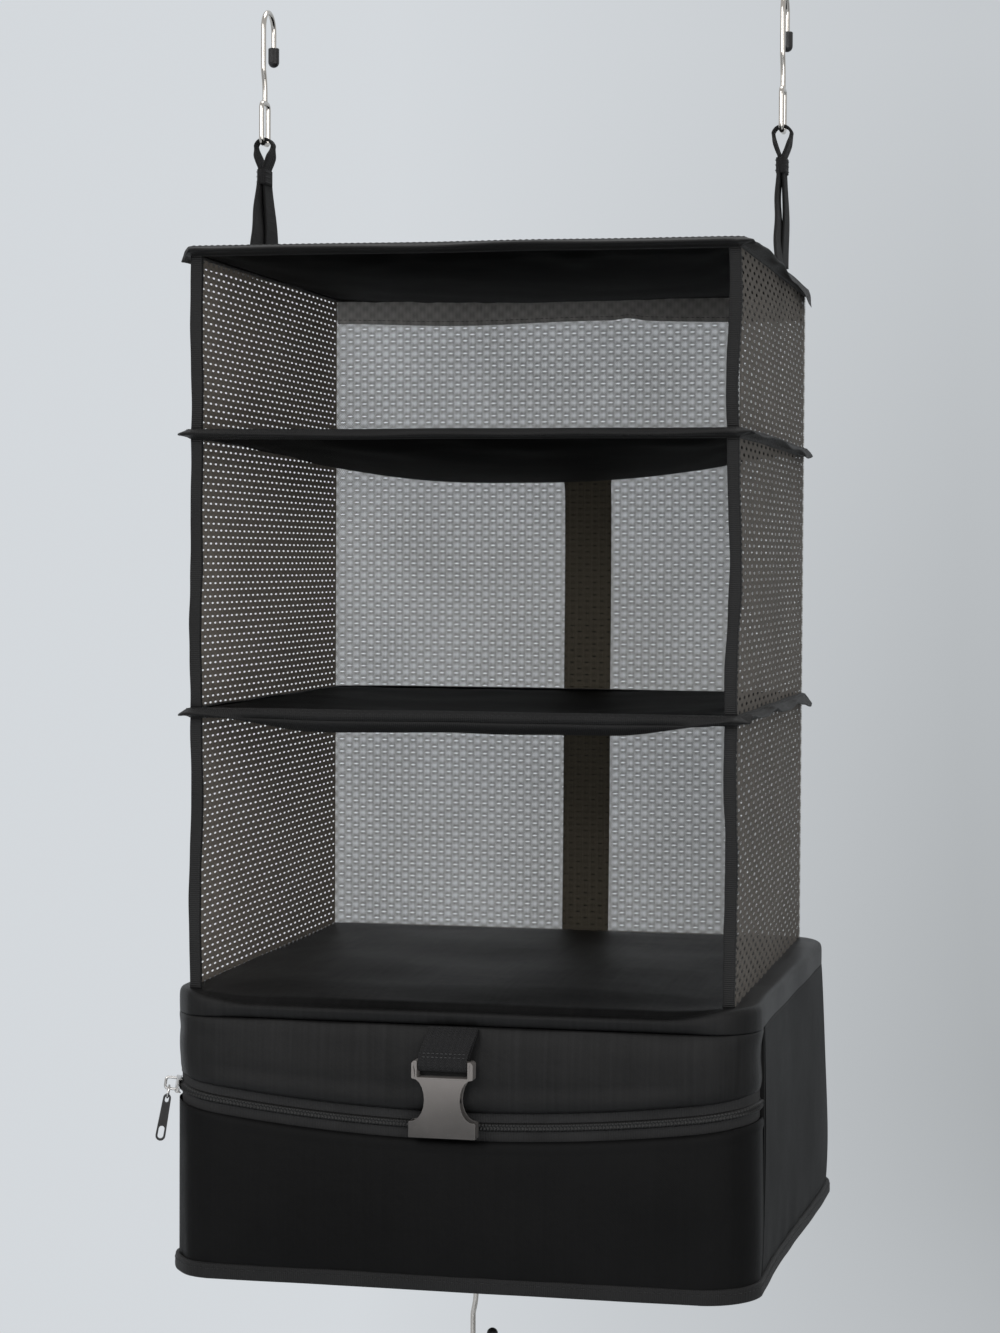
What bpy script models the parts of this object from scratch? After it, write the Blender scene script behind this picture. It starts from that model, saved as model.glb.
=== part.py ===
"""Hanging travel organizer: three open mesh tiers over a zipped base compartment.

Metres, +Z up, +Y to the back. The origin is the hang point: level with the inside of
the hooks' crowns, and midway between the two hooks.
"""

import math

import bmesh
import bpy
from mathutils import Matrix, Vector

# Running gap between neighbouring pieces
GAP = 0.0003

# Shelf stack
WIDTH = 0.300
DEPTH = 0.300
TOP_TIER = 0.099
MIDDLE_TIER = 0.151
LOWER_TIER = 0.1506
BOARD = 0.0022
BOARD_TRIM = 0.0010
CLOTH = 0.0011
TOP_SAG = 0.008
UPPER_SHELF_SAG = 0.014
LOWER_SHELF_SAG = 0.007

# Bound edge of a shelf: a folded tape round the layers, with a seam flange outside
BINDING_HEIGHT = 0.0078
BINDING_LAP = 0.0045
FLANGE_REACH = 0.008
FLANGE_HEIGHT = 0.0034
SHELF_CORNER = 0.0016

# Mesh walls and their vertical edge tapes
MESH = 0.0012
EDGE_TAPE_WIDTH = 0.007
EDGE_TAPE_DEPTH = 0.0032
EDGE_TAPE_ROUND = 0.0008
BACK_BAND_HEIGHT = 0.014
WALL_FOOT_CLEARANCE = 0.0005

# Base compartment
BASE_HEIGHT = 0.156
BASE_OVERHANG = 0.012
BASE_CORNER = 0.030
PANEL = 0.0022
LID_DEPTH = 0.0135
LID_EDGE = 0.0055
LID_WAIST = 0.45
LID_LIP = 0.0088
LID_CROWN = 0.004
LID_CROWN_HALF = 0.150
LID_CROWN_SHARE = 0.8
LID_SKIN = 0.0016
LID_INSET = 0.0012
BASE_BOARD = 0.0025
HEM_HEIGHT = 0.0085
HEM_THICKNESS = 0.0028
HEM_SLOPE = 0.0011
SEAM_SETBACK = 0.037
SEAM_WELT = 0.0030
SEAM_PROUD = 0.00075
SEAM_ROUND = 0.0006

# Zip across the front of the base
ZIP_END_DROP = 0.0540
ZIP_SMILE = 0.0135
ZIP_MOUTH = 0.0150
ZIP_TAPE = 0.0009
ZIP_TAPE_WIDTH = 0.0125
COIL_WIDTH = 0.0048
COIL_HEIGHT = 0.0017
SLIDER_ANGLE = 70.0
SLIDER_LENGTH = 0.0105
SLIDER_PLATE = 0.0011
SLIDER_TAPER = 0.12
SLIDER_CLEARANCE = 0.0009
BAIL_WIRE = 0.0016
BAIL_SPREAD = 0.72
BAIL_SUNK = 0.4
PULL_LEAN = 10.0
PULL_LENGTH = 0.0260
PULL_WIDTH = 0.0054
PULL_HEAD = 0.0043
PULL_RIM = 0.0011
PULL_THICKNESS = 0.0021
PULL_CLEARANCE = 0.0009
PULL_EYE = 0.0036
PULL_WINDOW = 0.0072
PULL_RING = 0.0034
PULL_RING_WIRE = 0.0012
PULL_RING_PLAY = 0.00045

# Hooks of bent wire with a vinyl cap on the tip
HOOK_WIRE = 0.0031
HOOK_REACH = 0.0748
HOOK_MOUTH = 0.0180
HOOK_BOWL = 0.0330
SHANK_OFFSET = 0.0032
SHANK_BEND = 0.0095
EYE_WIDTH = 0.0100
EYE_LENGTH = 0.0205
EYE_CORNER = 0.0026
HOOK_TIP_RISE = 0.0045
CAP_LENGTH = 0.0115
CAP_RADIUS = 0.0033
CAP_BORE = 0.0082
CAP_ROUND = 0.0004

# Hanging straps
STRAP_OUTSET = 0.003
STRAP_RISE = 0.0757
STRAP_WEB = 0.0016
STRAP_LOOP_DEPTH = 0.0074
STRAP_LOOP_SPREAD = 0.0062
STRAP_NARROWING = 1.4
STRAP_TACK_DROP = 0.019
STRAP_TACK_HEIGHT = 0.0050
STRAP_TACK_DEPTH = 0.0150
STRAP_TACK_WIDTH = 0.0061
STRAP_TACK_LAP = 0.0010
STRAP_TACKED_HALF = 0.0010
STRAP_LEG_HEAD = 0.0135
STRAP_LEG_WIDTH = 0.019
STRAP_LEG_SPREAD = 0.020

# Side-release buckle
BUCKLE_X = -0.003
BUCKLE_WIDTH = 0.0365
BUCKLE_WAIST = 0.0195
BUCKLE_HEAD = 0.0335
BUCKLE_LENGTH = 0.0410
BUCKLE_DEPTH = 0.0088
BUCKLE_WALL = 0.0014
BUCKLE_BAR = 0.0036
BUCKLE_SLOT = 0.0052
BUCKLE_RAIL = 0.0030
BUCKLE_ROOF = 0.0034
BUCKLE_CHEEK = 0.0085
BUCKLE_CHAMFER = 0.0013
BUCKLE_DROP = 0.0330
SCALLOP_ROUNDNESS = 0.9
WEBBING_WIDTH = 0.026
WEBBING = 0.0014
WEBBING_BEND = 0.006
WEBBING_CLOSE = 0.75
SHOULDER_PLATE = 0.0046
TONGUE_LENGTH = 0.0240
TONGUE_WIDTH = 0.0078
TONGUE_DEPTH = 0.0040
TONGUE_ROOT = 0.0010
ARM_WIDTH = 0.0032
ARM_LENGTH = 0.0250
ARM_SPACING = 0.0133
ARM_CLEARANCE = 0.0008
ARM_ROOT = 0.0060
ARM_STEM = 0.0075
ARM_STEP = 0.0115
ARM_STEP_DEPTH = 0.0019
ARM_FLARE = 0.0155
ARM_FLARE_SLOPE = 0.0010
PAD_START = 0.0145
PAD_END = 0.0215
PAD_TAPER = 0.0006

# Strap behind the mesh, which goes round the folded stack
REAR_STRAP_X = 0.011
REAR_STRAP_WIDTH = 0.030
REAR_STRAP_LENGTH = 0.345
REAR_STRAP_CLEARANCE = 0.0015
REAR_STRAP_SEAM = 0.004
REAR_STRAP_FLARE = 0.020
REAR_STRAP_LEVELS_OUT = 0.045
REAR_STRAP_SETTLE = 0.001
REAR_FOLD_CLOSES = 0.016
REAR_FOLD_SEAM = 0.036
REAR_FOLD_TOP = 0.050

# Hook under the base
LOWER_HOOK_X = -0.022
LOWER_HOOK_YAW = 45.0
LOWER_LOOP_DROP = 0.0100
LOWER_LOOP_REACH = 0.013
LOWER_LOOP_BEND = 0.0035

# How far the cutters of thin plates reach
CUTTER = 0.010

# What follows from the sizes above
TOP_LEVEL = -(HOOK_REACH + STRAP_RISE) - BINDING_HEIGHT / 2
UPPER_LEVEL = TOP_LEVEL - TOP_TIER
LOWER_LEVEL = UPPER_LEVEL - MIDDLE_TIER
LID_LEVEL = LOWER_LEVEL - LOWER_TIER
BASE_FLOOR = LID_LEVEL - BASE_HEIGHT
BASE_X = WIDTH / 2 + BASE_OVERHANG
BASE_Y = DEPTH / 2 + BASE_OVERHANG
ZIP_END = LID_LEVEL - ZIP_END_DROP
SEAM_Y = -BASE_Y + SEAM_SETBACK

FINISHES = {
    "nylon": ((0.018, 0.018, 0.020), 0.62, 0.0),
    "tape": ((0.012, 0.012, 0.013), 0.75, 0.0),
    "mesh": ((0.155, 0.145, 0.130), 0.80, 0.0),
    "webbing": ((0.020, 0.020, 0.021), 0.85, 0.0),
    "board": ((0.320, 0.310, 0.290), 0.70, 0.0),
    "plastic": ((0.115, 0.105, 0.098), 0.42, 0.0),
    "steel": ((0.700, 0.680, 0.640), 0.20, 1.0),
    "vinyl": ((0.010, 0.010, 0.011), 0.38, 0.0),
}


def clear_scene():
    for obj in list(bpy.data.objects):
        bpy.data.objects.remove(obj, do_unlink=True)
    for collection in list(bpy.data.collections):
        bpy.data.collections.remove(collection)


def new_collection(name):
    collection = bpy.data.collections.new(name)
    bpy.context.scene.collection.children.link(collection)
    return collection


def finish_material(name):
    made = bpy.data.materials.get(name)
    if made:
        return made
    colour, roughness, metallic = FINISHES[name]
    made = bpy.data.materials.new(name)
    made.use_nodes = True
    shader = made.node_tree.nodes["Principled BSDF"]
    shader.inputs["Base Color"].default_value = (*colour, 1.0)
    shader.inputs["Roughness"].default_value = roughness
    shader.inputs["Metallic"].default_value = metallic
    return made


def add_object(name, data, finish, collection="hanging_travel_organizer"):
    obj = bpy.data.objects.new(name, data)
    bpy.data.collections[collection].objects.link(obj)
    if finish:
        data.materials.clear()
        data.materials.append(finish_material(finish))
    return obj


def mesh_of(bm, name, smooth=None):
    bmesh.ops.recalc_face_normals(bm, faces=bm.faces)
    mesh = bpy.data.meshes.new(name)
    bm.to_mesh(mesh)
    bm.free()
    if smooth is not None:
        mesh.shade_smooth()
        mesh.set_sharp_from_angle(angle=math.radians(smooth))
    return mesh


def box(name, finish, low, high, bevel=0.0):
    low, high = Vector(low), Vector(high)
    bm = bmesh.new()
    bmesh.ops.create_cube(bm, size=1.0)
    bmesh.ops.scale(bm, vec=high - low, verts=bm.verts)
    bmesh.ops.translate(bm, vec=(low + high) / 2, verts=bm.verts)
    obj = add_object(name, mesh_of(bm, name), finish)
    if bevel:
        add_bevel(obj, bevel)
    return obj


def add_bevel(obj, width, segments=2):
    bevel = obj.modifiers.new("rounded edges", "BEVEL")
    bevel.width = width
    bevel.segments = segments
    bevel.limit_method = "ANGLE"
    bevel.angle_limit = math.radians(40)


def loft(name, finish, sections, ring=False, smooth=35.0):
    """Skin over closed sections of equal point count, end to end or round in a ring."""
    bm = bmesh.new()
    rows = [[bm.verts.new(point) for point in section] for section in sections]
    count = len(rows[0])
    pairs = list(zip(rows, rows[1:] + rows[:1])) if ring else list(zip(rows, rows[1:]))
    for first, second in pairs:
        for i in range(count):
            j = (i + 1) % count
            bm.faces.new((first[i], first[j], second[j], second[i]))
    if not ring:
        bm.faces.new(rows[0])
        bm.faces.new(rows[-1])
    return add_object(name, mesh_of(bm, name, smooth), finish)


def wire(name, finish, points, radius, cyclic=False, sides=3):
    curve = bpy.data.curves.new(name, "CURVE")
    curve.dimensions = "3D"
    curve.bevel_depth = radius
    curve.bevel_resolution = sides
    curve.use_fill_caps = True
    spline = curve.splines.new("POLY")
    spline.points.add(len(points) - 1)
    for spot, point in zip(spline.points, points):
        spot.co = (*point, 1.0)
    spline.use_cyclic_u = cyclic
    return add_object(name, curve, finish)


def flat_shape(name, finish, points, thickness):
    """A closed flat outline in local XY, centred on its plane in local Z."""
    curve = bpy.data.curves.new(name, "CURVE")
    curve.dimensions = "2D"
    curve.fill_mode = "BOTH"
    curve.extrude = thickness / 2
    spline = curve.splines.new("POLY")
    spline.points.add(len(points) - 1)
    for spot, (x, y) in zip(spline.points, points):
        spot.co = (x, y, 0.0, 1.0)
    spline.use_cyclic_u = True
    return add_object(name, curve, finish)


def carry(parent, obj, place):
    """Hangs an object on another, at a place in the other's own frame."""
    obj.parent = parent
    obj.matrix_basis = place


def pivot(name, place):
    """An empty on a joint's axis, for a piece whose own origin lies elsewhere."""
    empty = bpy.data.objects.new(name, None)
    bpy.data.collections["hanging_travel_organizer"].objects.link(empty)
    empty.matrix_world = place
    return empty


def as_mesh(obj):
    """The same object with its curve made a closed mesh, its matrix kept."""
    bpy.context.view_layer.update()
    graph = bpy.context.evaluated_depsgraph_get()
    mesh = bpy.data.meshes.new_from_object(obj.evaluated_get(graph))
    bm = bmesh.new()
    bm.from_mesh(mesh)
    bmesh.ops.remove_doubles(bm, verts=bm.verts, dist=1e-6)
    bmesh.ops.dissolve_limit(bm, angle_limit=1e-4, verts=bm.verts, edges=bm.edges)
    bmesh.ops.recalc_face_normals(bm, faces=bm.faces)
    bm.to_mesh(mesh)
    bm.free()
    made = add_object("solid", mesh, None)
    made.matrix_world = obj.matrix_world.copy()
    name = obj.name
    bpy.data.objects.remove(obj, do_unlink=True)
    made.name = name
    return made


def combine(target, others, operation="UNION"):
    """A Boolean with helpers that are kept out of the model."""
    for index, other in enumerate(others):
        other.hide_render = True
        other.display_type = "WIRE"
        for collection in list(other.users_collection):
            collection.objects.unlink(other)
        bpy.data.collections["cutters"].objects.link(other)
        step = target.modifiers.new(f"{operation.lower()} {index}", "BOOLEAN")
        step.operation = operation
        step.object = other
    return target


def arc(centre, radius, start, end, steps):
    """Points along a circular arc, angles in degrees."""
    angles = [math.radians(start + (end - start) * i / steps) for i in range(steps + 1)]
    return [
        (centre[0] + radius * math.cos(a), centre[1] + radius * math.sin(a))
        for a in angles
    ]


def rounded_rectangle(half_x, half_y, radius, steps=5):
    corners = ((1, 1, 0), (-1, 1, 90), (-1, -1, 180), (1, -1, 270))
    points = []
    for side_x, side_y, start in corners:
        centre = (side_x * (half_x - radius), side_y * (half_y - radius))
        points += arc(centre, radius, start, start + 90, steps)
    return points


def smile(x):
    """Height of the zip, lowest at the middle of the front."""
    return ZIP_END - ZIP_SMILE * max(0.0, 1.0 - (x / BASE_X) ** 2)


def base_outline(inset, steps=6):
    """The base in plan, drawn in by an inset, which is negative outside it."""
    return rounded_rectangle(
        BASE_X - inset, BASE_Y - inset, max(BASE_CORNER - inset, 0.002), steps
    )


def front_stations(inset, spans=14, steps=8):
    """Points from the left seam round the front to the right seam."""
    half_x = BASE_X - inset
    half_y = BASE_Y - inset
    radius = BASE_CORNER - inset
    centre = (-half_x + radius, -half_y + radius)
    left = [(-half_x, SEAM_Y)] + arc(centre, radius, 180, 270, steps)
    run = half_x - radius
    middle = [(-run + 2 * run * i / spans, -half_y) for i in range(1, spans)]
    right = [(-x, y) for x, y in reversed(left)]
    return left + middle + right


def front_band(name, finish, outer, inner, low, high):
    """A strip round the front between two insets, with its edges set by functions of x."""
    sections = []
    for (x1, y1), (x2, y2) in zip(front_stations(outer), front_stations(inner)):
        sections.append(
            [
                (x1, y1, low(x1)),
                (x1, y1, high(x1)),
                (x2, y2, high(x1)),
                (x2, y2, low(x1)),
            ]
        )
    return loft(name, finish, sections)


def stacked_outlines(name, finish, profile):
    """A plate or dish in the plan shape of the base, from (inset, height) pairs."""
    sections = [[(x, y, z) for x, y in base_outline(inset)] for inset, z in profile]
    return loft(name, finish, sections)


def dished_sheet(name, finish, inset, height, thickness, sag, cells=10):
    """A sheet that is flat where its edge is held, and sags towards its middle."""
    bm = bmesh.new()
    bmesh.ops.create_grid(bm, x_segments=cells, y_segments=cells, size=1.0)
    first_line = 1 - 2 / cells
    for vert in bm.verts:
        spots = []
        dip = sag
        for share, half in ((vert.co.x, WIDTH / 2), (vert.co.y, DEPTH / 2)):
            if abs(share) > first_line + 1e-4:
                spots.append(math.copysign(half - inset, share))
                dip = 0.0
            else:
                spots.append(share / first_line * (half - BINDING_LAP))
                dip *= 1 - (share / first_line) ** 2
        vert.co = (*spots, height - dip)
    obj = add_object(name, mesh_of(bm, name, 60), finish)
    skin = obj.modifiers.new("thickness", "SOLIDIFY")
    skin.thickness = thickness
    skin.offset = 0.0
    return obj


def shelf(name, level, sag):
    """Two cloths with a board between them, held at their edge by a folded tape."""
    cloth_edge = CLOTH + GAP
    board_step = BOARD / 2 + 2 * GAP + CLOTH / 2
    over = level + board_step
    under = level - board_step
    dished_sheet(f"{name}_cloth", "nylon", cloth_edge, over, CLOTH, sag)
    dished_sheet(f"{name}_board", "board", cloth_edge + BOARD_TRIM, level, BOARD, sag)
    dished_sheet(f"{name}_lining", "nylon", cloth_edge, under, CLOTH, sag)
    shelf_binding(f"{name}_binding", level)


def shelf_binding(name, level):
    """A ring of C section whose mouth holds the cloths, with a flat flange outside."""
    mouth = BOARD / 2 + CLOTH + 3 * GAP
    half = BINDING_HEIGHT / 2
    flange = FLANGE_HEIGHT / 2
    profile = [
        (FLANGE_REACH, -flange),
        (FLANGE_REACH, flange),
        (CLOTH, flange),
        (0.0, half),
        (-BINDING_LAP, half),
        (-BINDING_LAP, mouth),
        (-CLOTH, mouth),
        (-CLOTH, -mouth),
        (-BINDING_LAP, -mouth),
        (-BINDING_LAP, -half),
        (0.0, -half),
        (CLOTH, -flange),
    ]
    outlines = [
        rounded_rectangle(
            WIDTH / 2 + out, DEPTH / 2 + out, max(SHELF_CORNER + out, GAP), 3
        )
        for out, _ in profile
    ]
    sections = []
    for station in zip(*outlines):
        sections.append([(x, y, level + dz) for (x, y), (_, dz) in zip(station, profile)])
    return loft(name, "tape", sections, ring=True)


def tier_walls(name, upper, lower, lower_edge):
    """Left, right and back mesh of one tier, and the tapes on its two front edges."""
    top = upper - BINDING_HEIGHT / 2 - GAP
    bottom = lower + lower_edge + GAP
    side = WIDTH / 2
    back = DEPTH / 2
    front = -DEPTH / 2 + EDGE_TAPE_DEPTH + GAP
    for label, sign in (("left", -1), ("right", 1)):
        xs = sorted((sign * side, sign * (side - MESH)))
        box(
            f"{name}_{label}_mesh",
            "mesh",
            (xs[0], front, bottom),
            (xs[1], back - MESH - GAP, top),
        )
        xs = sorted((sign * side, sign * (side - EDGE_TAPE_WIDTH)))
        box(
            f"{name}_{label}_edge_tape",
            "tape",
            (xs[0], -DEPTH / 2, bottom),
            (xs[1], -DEPTH / 2 + EDGE_TAPE_DEPTH, top),
            EDGE_TAPE_ROUND,
        )
    box(
        f"{name}_back_mesh",
        "mesh",
        (-side, back - MESH, bottom),
        (side, back, top),
    )


def back_band():
    """The doubled hem of the back mesh, just under the top panel."""
    top = TOP_LEVEL - BINDING_HEIGHT / 2 - GAP
    inside = WIDTH / 2 - MESH - GAP
    front = DEPTH / 2 - 2 * MESH - GAP
    box(
        "top_back_band",
        "nylon",
        (-inside, front, top - BACK_BAND_HEIGHT),
        (inside, front + MESH, top),
    )


def base_lid():
    """Padded lid with a rolled edge; its board lies in the hollow underneath."""
    top = LID_LEVEL
    under = top - LID_DEPTH
    roof = top - LID_SKIN
    middle = LID_CROWN_HALF / 2
    near_centre = LID_CROWN_HALF
    profile = [
        (near_centre, roof + LID_CROWN),
        (middle, roof + LID_CROWN * LID_CROWN_SHARE),
        (LID_LIP + LID_SKIN * 2, roof),
        (LID_LIP, roof - LID_SKIN),
        (LID_LIP, under),
    ]
    profile += lid_roll(top, under)
    profile += [
        (middle, top + LID_CROWN * LID_CROWN_SHARE),
        (near_centre, top + LID_CROWN),
    ]
    stacked_outlines("base_lid_cover", "nylon", profile)
    board_top = roof - LID_SKIN - GAP
    edge = LID_LIP + GAP
    stacked_outlines(
        "base_lid_board",
        "board",
        [(edge, board_top - BASE_BOARD), (edge, board_top)],
    )


def lid_roll(top, under):
    """The rolled edge, from the foot of the lid round to its top, as (inset, height)."""
    waist = under + LID_DEPTH * LID_WAIST
    below = 60
    roll = []
    for inset, rise in arc((LID_EDGE, 0.0), LID_EDGE, 180 + below, 90, 5):
        if rise > 0:
            reach = top - waist
        else:
            reach = (waist - under) / math.sin(math.radians(below))
        roll.append((inset, waist + reach * rise / LID_EDGE))
    return roll


def base_panels():
    """Front upper and lower panels, the U-shaped back panel, the floor and its hem."""
    wall_top = LID_LEVEL - LID_DEPTH - GAP
    wall_foot = BASE_FLOOR + CLOTH + GAP
    half_mouth = ZIP_MOUTH / 2
    front_band(
        "base_front_upper_panel",
        "nylon",
        LID_INSET,
        LID_INSET + PANEL,
        lambda x: smile(x) + half_mouth,
        lambda x: wall_top,
    )
    front_band(
        "base_front_lower_panel",
        "nylon",
        0.0,
        PANEL,
        lambda x: wall_foot,
        lambda x: smile(x) - half_mouth,
    )
    back_panel(wall_foot, wall_top)
    stacked_outlines(
        "base_floor_cloth", "nylon", [(0.0, BASE_FLOOR), (0.0, BASE_FLOOR + CLOTH)]
    )
    board_foot = BASE_FLOOR + CLOTH + GAP
    edge = PANEL + ZIP_TAPE + 3 * GAP
    stacked_outlines(
        "base_floor_board",
        "board",
        [(edge, board_foot), (edge, board_foot + BASE_BOARD)],
    )
    base_hem()


def back_panel(foot, top):
    """The panel round the sides and back, from seam to seam."""
    start = SEAM_Y + SEAM_WELT + 2 * GAP

    def stations(inset):
        half_x = BASE_X - inset
        half_y = BASE_Y - inset
        radius = BASE_CORNER - inset
        centre = (half_x - radius, half_y - radius)
        right = [(half_x, start)] + arc(centre, radius, 0, 90, 6)
        return right + [(-x, y) for x, y in reversed(right)]

    sections = [
        [(x1, y1, foot), (x1, y1, top), (x2, y2, top), (x2, y2, foot)]
        for (x1, y1), (x2, y2) in zip(stations(0.0), stations(PANEL))
    ]
    loft("base_back_panel", "nylon", sections)
    for label, sign in (("left", -1), ("right", 1)):
        xs = sorted((sign * (BASE_X + SEAM_PROUD), sign * (BASE_X - PANEL)))
        box(
            f"base_{label}_seam",
            "tape",
            (xs[0], SEAM_Y + GAP, foot),
            (xs[1], SEAM_Y + GAP + SEAM_WELT, top),
            SEAM_ROUND,
        )


def base_hem():
    """The bound seam that stands out round the foot of the base."""
    out_near = -SEAM_PROUD - GAP
    out_far = out_near - HEM_THICKNESS
    foot = BASE_FLOOR
    top = foot + HEM_HEIGHT
    profile = [
        (out_near, foot),
        (out_far, foot),
        (out_far, top - HEM_SLOPE),
        (out_far + HEM_SLOPE, top),
        (out_near, top),
    ]
    outlines = [base_outline(inset) for inset, _ in profile]
    sections = []
    for station in zip(*outlines):
        sections.append([(x, y, z) for (x, y), (_, z) in zip(station, profile)])
    loft("base_hem_binding", "tape", sections, ring=True)


def zip_chain():
    """Two tapes behind the mouth, and the closed coil that joins them."""
    behind = PANEL + LID_INSET + GAP
    front_band(
        "zip_upper_tape",
        "tape",
        behind,
        behind + ZIP_TAPE,
        lambda x: smile(x) + GAP / 2,
        lambda x: smile(x) + ZIP_TAPE_WIDTH,
    )
    front_band(
        "zip_lower_tape",
        "tape",
        behind,
        behind + ZIP_TAPE,
        lambda x: smile(x) - ZIP_TAPE_WIDTH,
        lambda x: smile(x) - GAP / 2,
    )
    face = behind - GAP
    front_band(
        "zip_coil",
        "vinyl",
        face - COIL_HEIGHT,
        face,
        lambda x: smile(x) - COIL_WIDTH / 2,
        lambda x: smile(x) + COIL_WIDTH / 2,
    )


def slider_frame():
    """Corner centre and the frame whose -Y looks out of the corner at the slider."""
    corner_x = -BASE_X + BASE_CORNER
    centre = Vector((corner_x, -BASE_Y + BASE_CORNER, smile(corner_x)))
    rise = smile(-BASE_X) - smile(corner_x)
    tilt = math.atan2(rise, BASE_CORNER)
    turn = Matrix.Rotation(tilt, 4, "Y") @ Matrix.Rotation(
        -math.radians(SLIDER_ANGLE), 4, "Z"
    )
    return Matrix.Translation(centre) @ turn


def zip_slider():
    """A body that straddles the coil, with a bail on its face for the pull."""
    behind = PANEL + LID_INSET
    coil_face = BASE_CORNER - behind + COIL_HEIGHT
    plate_in = coil_face + SLIDER_CLEARANCE
    plate_out = plate_in + SLIDER_PLATE
    lip_in = BASE_CORNER - behind + SLIDER_CLEARANCE
    half_arc = math.degrees(SLIDER_LENGTH / 2 / coil_face)
    inside = COIL_WIDTH / 2 + SLIDER_CLEARANCE
    outside = inside + SLIDER_PLATE
    profile = [
        (plate_out, -outside),
        (plate_out, outside),
        (lip_in, outside),
        (lip_in, inside),
        (plate_in, inside),
        (plate_in, -inside),
        (lip_in, -inside),
        (lip_in, -outside),
    ]
    sections = []
    for step in range(7):
        angle = math.radians(270 + half_arc * (step - 3) / 3)
        taper = 1.0 - SLIDER_TAPER * abs(step - 3) / 3
        section = []
        for radius, z in profile:
            spread = z * taper if abs(z) > inside else z
            section.append((radius * math.cos(angle), radius * math.sin(angle), spread))
        sections.append(section)
    body = loft("zip_slider", "steel", sections)
    hang = BASE_CORNER + PULL_WIDTH / 2 + PULL_CLEARANCE
    reach = hang + PULL_RING_WIRE / 2 + BAIL_WIRE
    half = outside * BAIL_SPREAD
    foot = plate_out - BAIL_WIRE * BAIL_SUNK
    bend = half / 2
    turns = arc((reach - bend, half - bend), bend, 90, 0, 4)
    upper = [(foot, half)] + turns
    path = upper + [(out, -z) for out, z in reversed(upper)]
    points = [(0.0, -out, z) for out, z in path]
    bail = as_mesh(wire("zip_slider_bail", "steel", points, BAIL_WIRE / 2, sides=2))
    combine(body, [bail])
    frame = slider_frame()
    body.matrix_world = frame
    bail.matrix_world = frame
    zip_pull(frame @ Vector((0.0, -hang, -half)))


def zip_pull(pivot):
    """A ring over the foot of the bail and a slotted tab that leans out from the panel."""
    turned = Matrix.Rotation(-math.radians(SLIDER_ANGLE), 4, "Z")
    leaning = Matrix.Rotation(-math.radians(PULL_LEAN), 4, "X")
    ring_wire = PULL_RING_WIRE / 2
    centre = BAIL_WIRE / 2 + ring_wire + GAP - PULL_RING
    loop = arc((0.0, centre), PULL_RING, 0, 345, 23)
    points = [(x, 0.0, z) for x, z in loop]
    ring = wire("zip_pull_ring", "steel", points, ring_wire, True, 2)
    ring.matrix_world = Matrix.Translation(pivot) @ turned @ leaning
    tab = as_mesh(flat_shape("zip_pull_tab", "vinyl", pull_outline(), PULL_THICKNESS))
    eye_hole = slot(PULL_RIM, ring_wire + PULL_RING_PLAY, PULL_EYE)
    eye = as_mesh(flat_shape("pull_eye", "vinyl", eye_hole, CUTTER))
    top = PULL_LENGTH - PULL_RIM - PULL_WINDOW
    window_hole = slot(top, PULL_WIDTH / 2 - PULL_RIM, PULL_WINDOW)
    window = as_mesh(flat_shape("pull_window", "vinyl", window_hole, CUTTER))
    combine(tab, [eye, window], "DIFFERENCE")
    seat = centre - PULL_RING + ring_wire + GAP + PULL_RIM
    lie = Matrix.Translation((0.0, 0.0, seat))
    lie = lie @ Matrix.Rotation(math.radians(90), 4, "Z")
    lie = lie @ Matrix.Rotation(math.radians(90), 4, "X")
    for obj in (tab, eye, window):
        carry(ring, obj, lie)


def pull_outline():
    """Narrow at the ring, a little wider towards the foot, with round ends."""
    head = PULL_HEAD / 2
    foot = PULL_WIDTH / 2
    points = arc((0.0, -head), head, 0, 180, 8)
    points += arc((0.0, -PULL_LENGTH + foot), foot, 180, 360, 10)
    return points


def slot(top, half_width, length):
    """A long hole with round ends, its upper end that far under the top of the tab."""
    points = arc((0.0, -top - half_width), half_width, 0, 180, 6)
    points += arc((0.0, -top - length + half_width), half_width, 180, 360, 6)
    return points


def hook_path():
    """The wire from its capped tip over the crown and down the shank, in (y, z)."""
    bowl = HOOK_MOUTH / 2 + HOOK_WIRE / 2
    crown = HOOK_WIRE / 2 - bowl
    neck = -HOOK_BOWL
    shank = -HOOK_REACH + EYE_LENGTH + HOOK_WIRE / 2
    path = [(2 * bowl, -HOOK_BOWL + HOOK_WIRE + HOOK_TIP_RISE)]
    path += arc((bowl, crown), bowl, 0, 180, 14)
    path += [(0.0, neck), (SHANK_OFFSET, neck - SHANK_BEND), (SHANK_OFFSET, shank)]
    return [(y - SHANK_OFFSET, z) for y, z in path]


def eye_path():
    """The closed eye at the foot of the hook, in (y, z)."""
    half_y = EYE_WIDTH / 2 + HOOK_WIRE / 2
    half_z = EYE_LENGTH / 2 + HOOK_WIRE / 2
    middle = -HOOK_REACH + EYE_LENGTH / 2
    outline = rounded_rectangle(half_y, half_z, EYE_CORNER, 4)
    return [(y, z + middle) for y, z in outline]


def hook(name, matrix):
    """Bent wire hook in its own YZ plane, its origin on the wire at the foot of its eye."""
    rise = HOOK_REACH + HOOK_WIRE / 2
    radius = HOOK_WIRE / 2
    shank = [(0.0, y, z + rise) for y, z in hook_path()]
    ring = [(0.0, y, z + rise) for y, z in eye_path()]
    body = as_mesh(wire(name, "steel", shank, radius))
    eye = as_mesh(wire(f"{name}_eye", "steel", ring, radius, cyclic=True))
    combine(body, [eye])
    body.matrix_world = matrix
    eye.matrix_world = matrix
    carry(body, hook_cap(f"{name}_cap"), Matrix.Translation(shank[0]))


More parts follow.
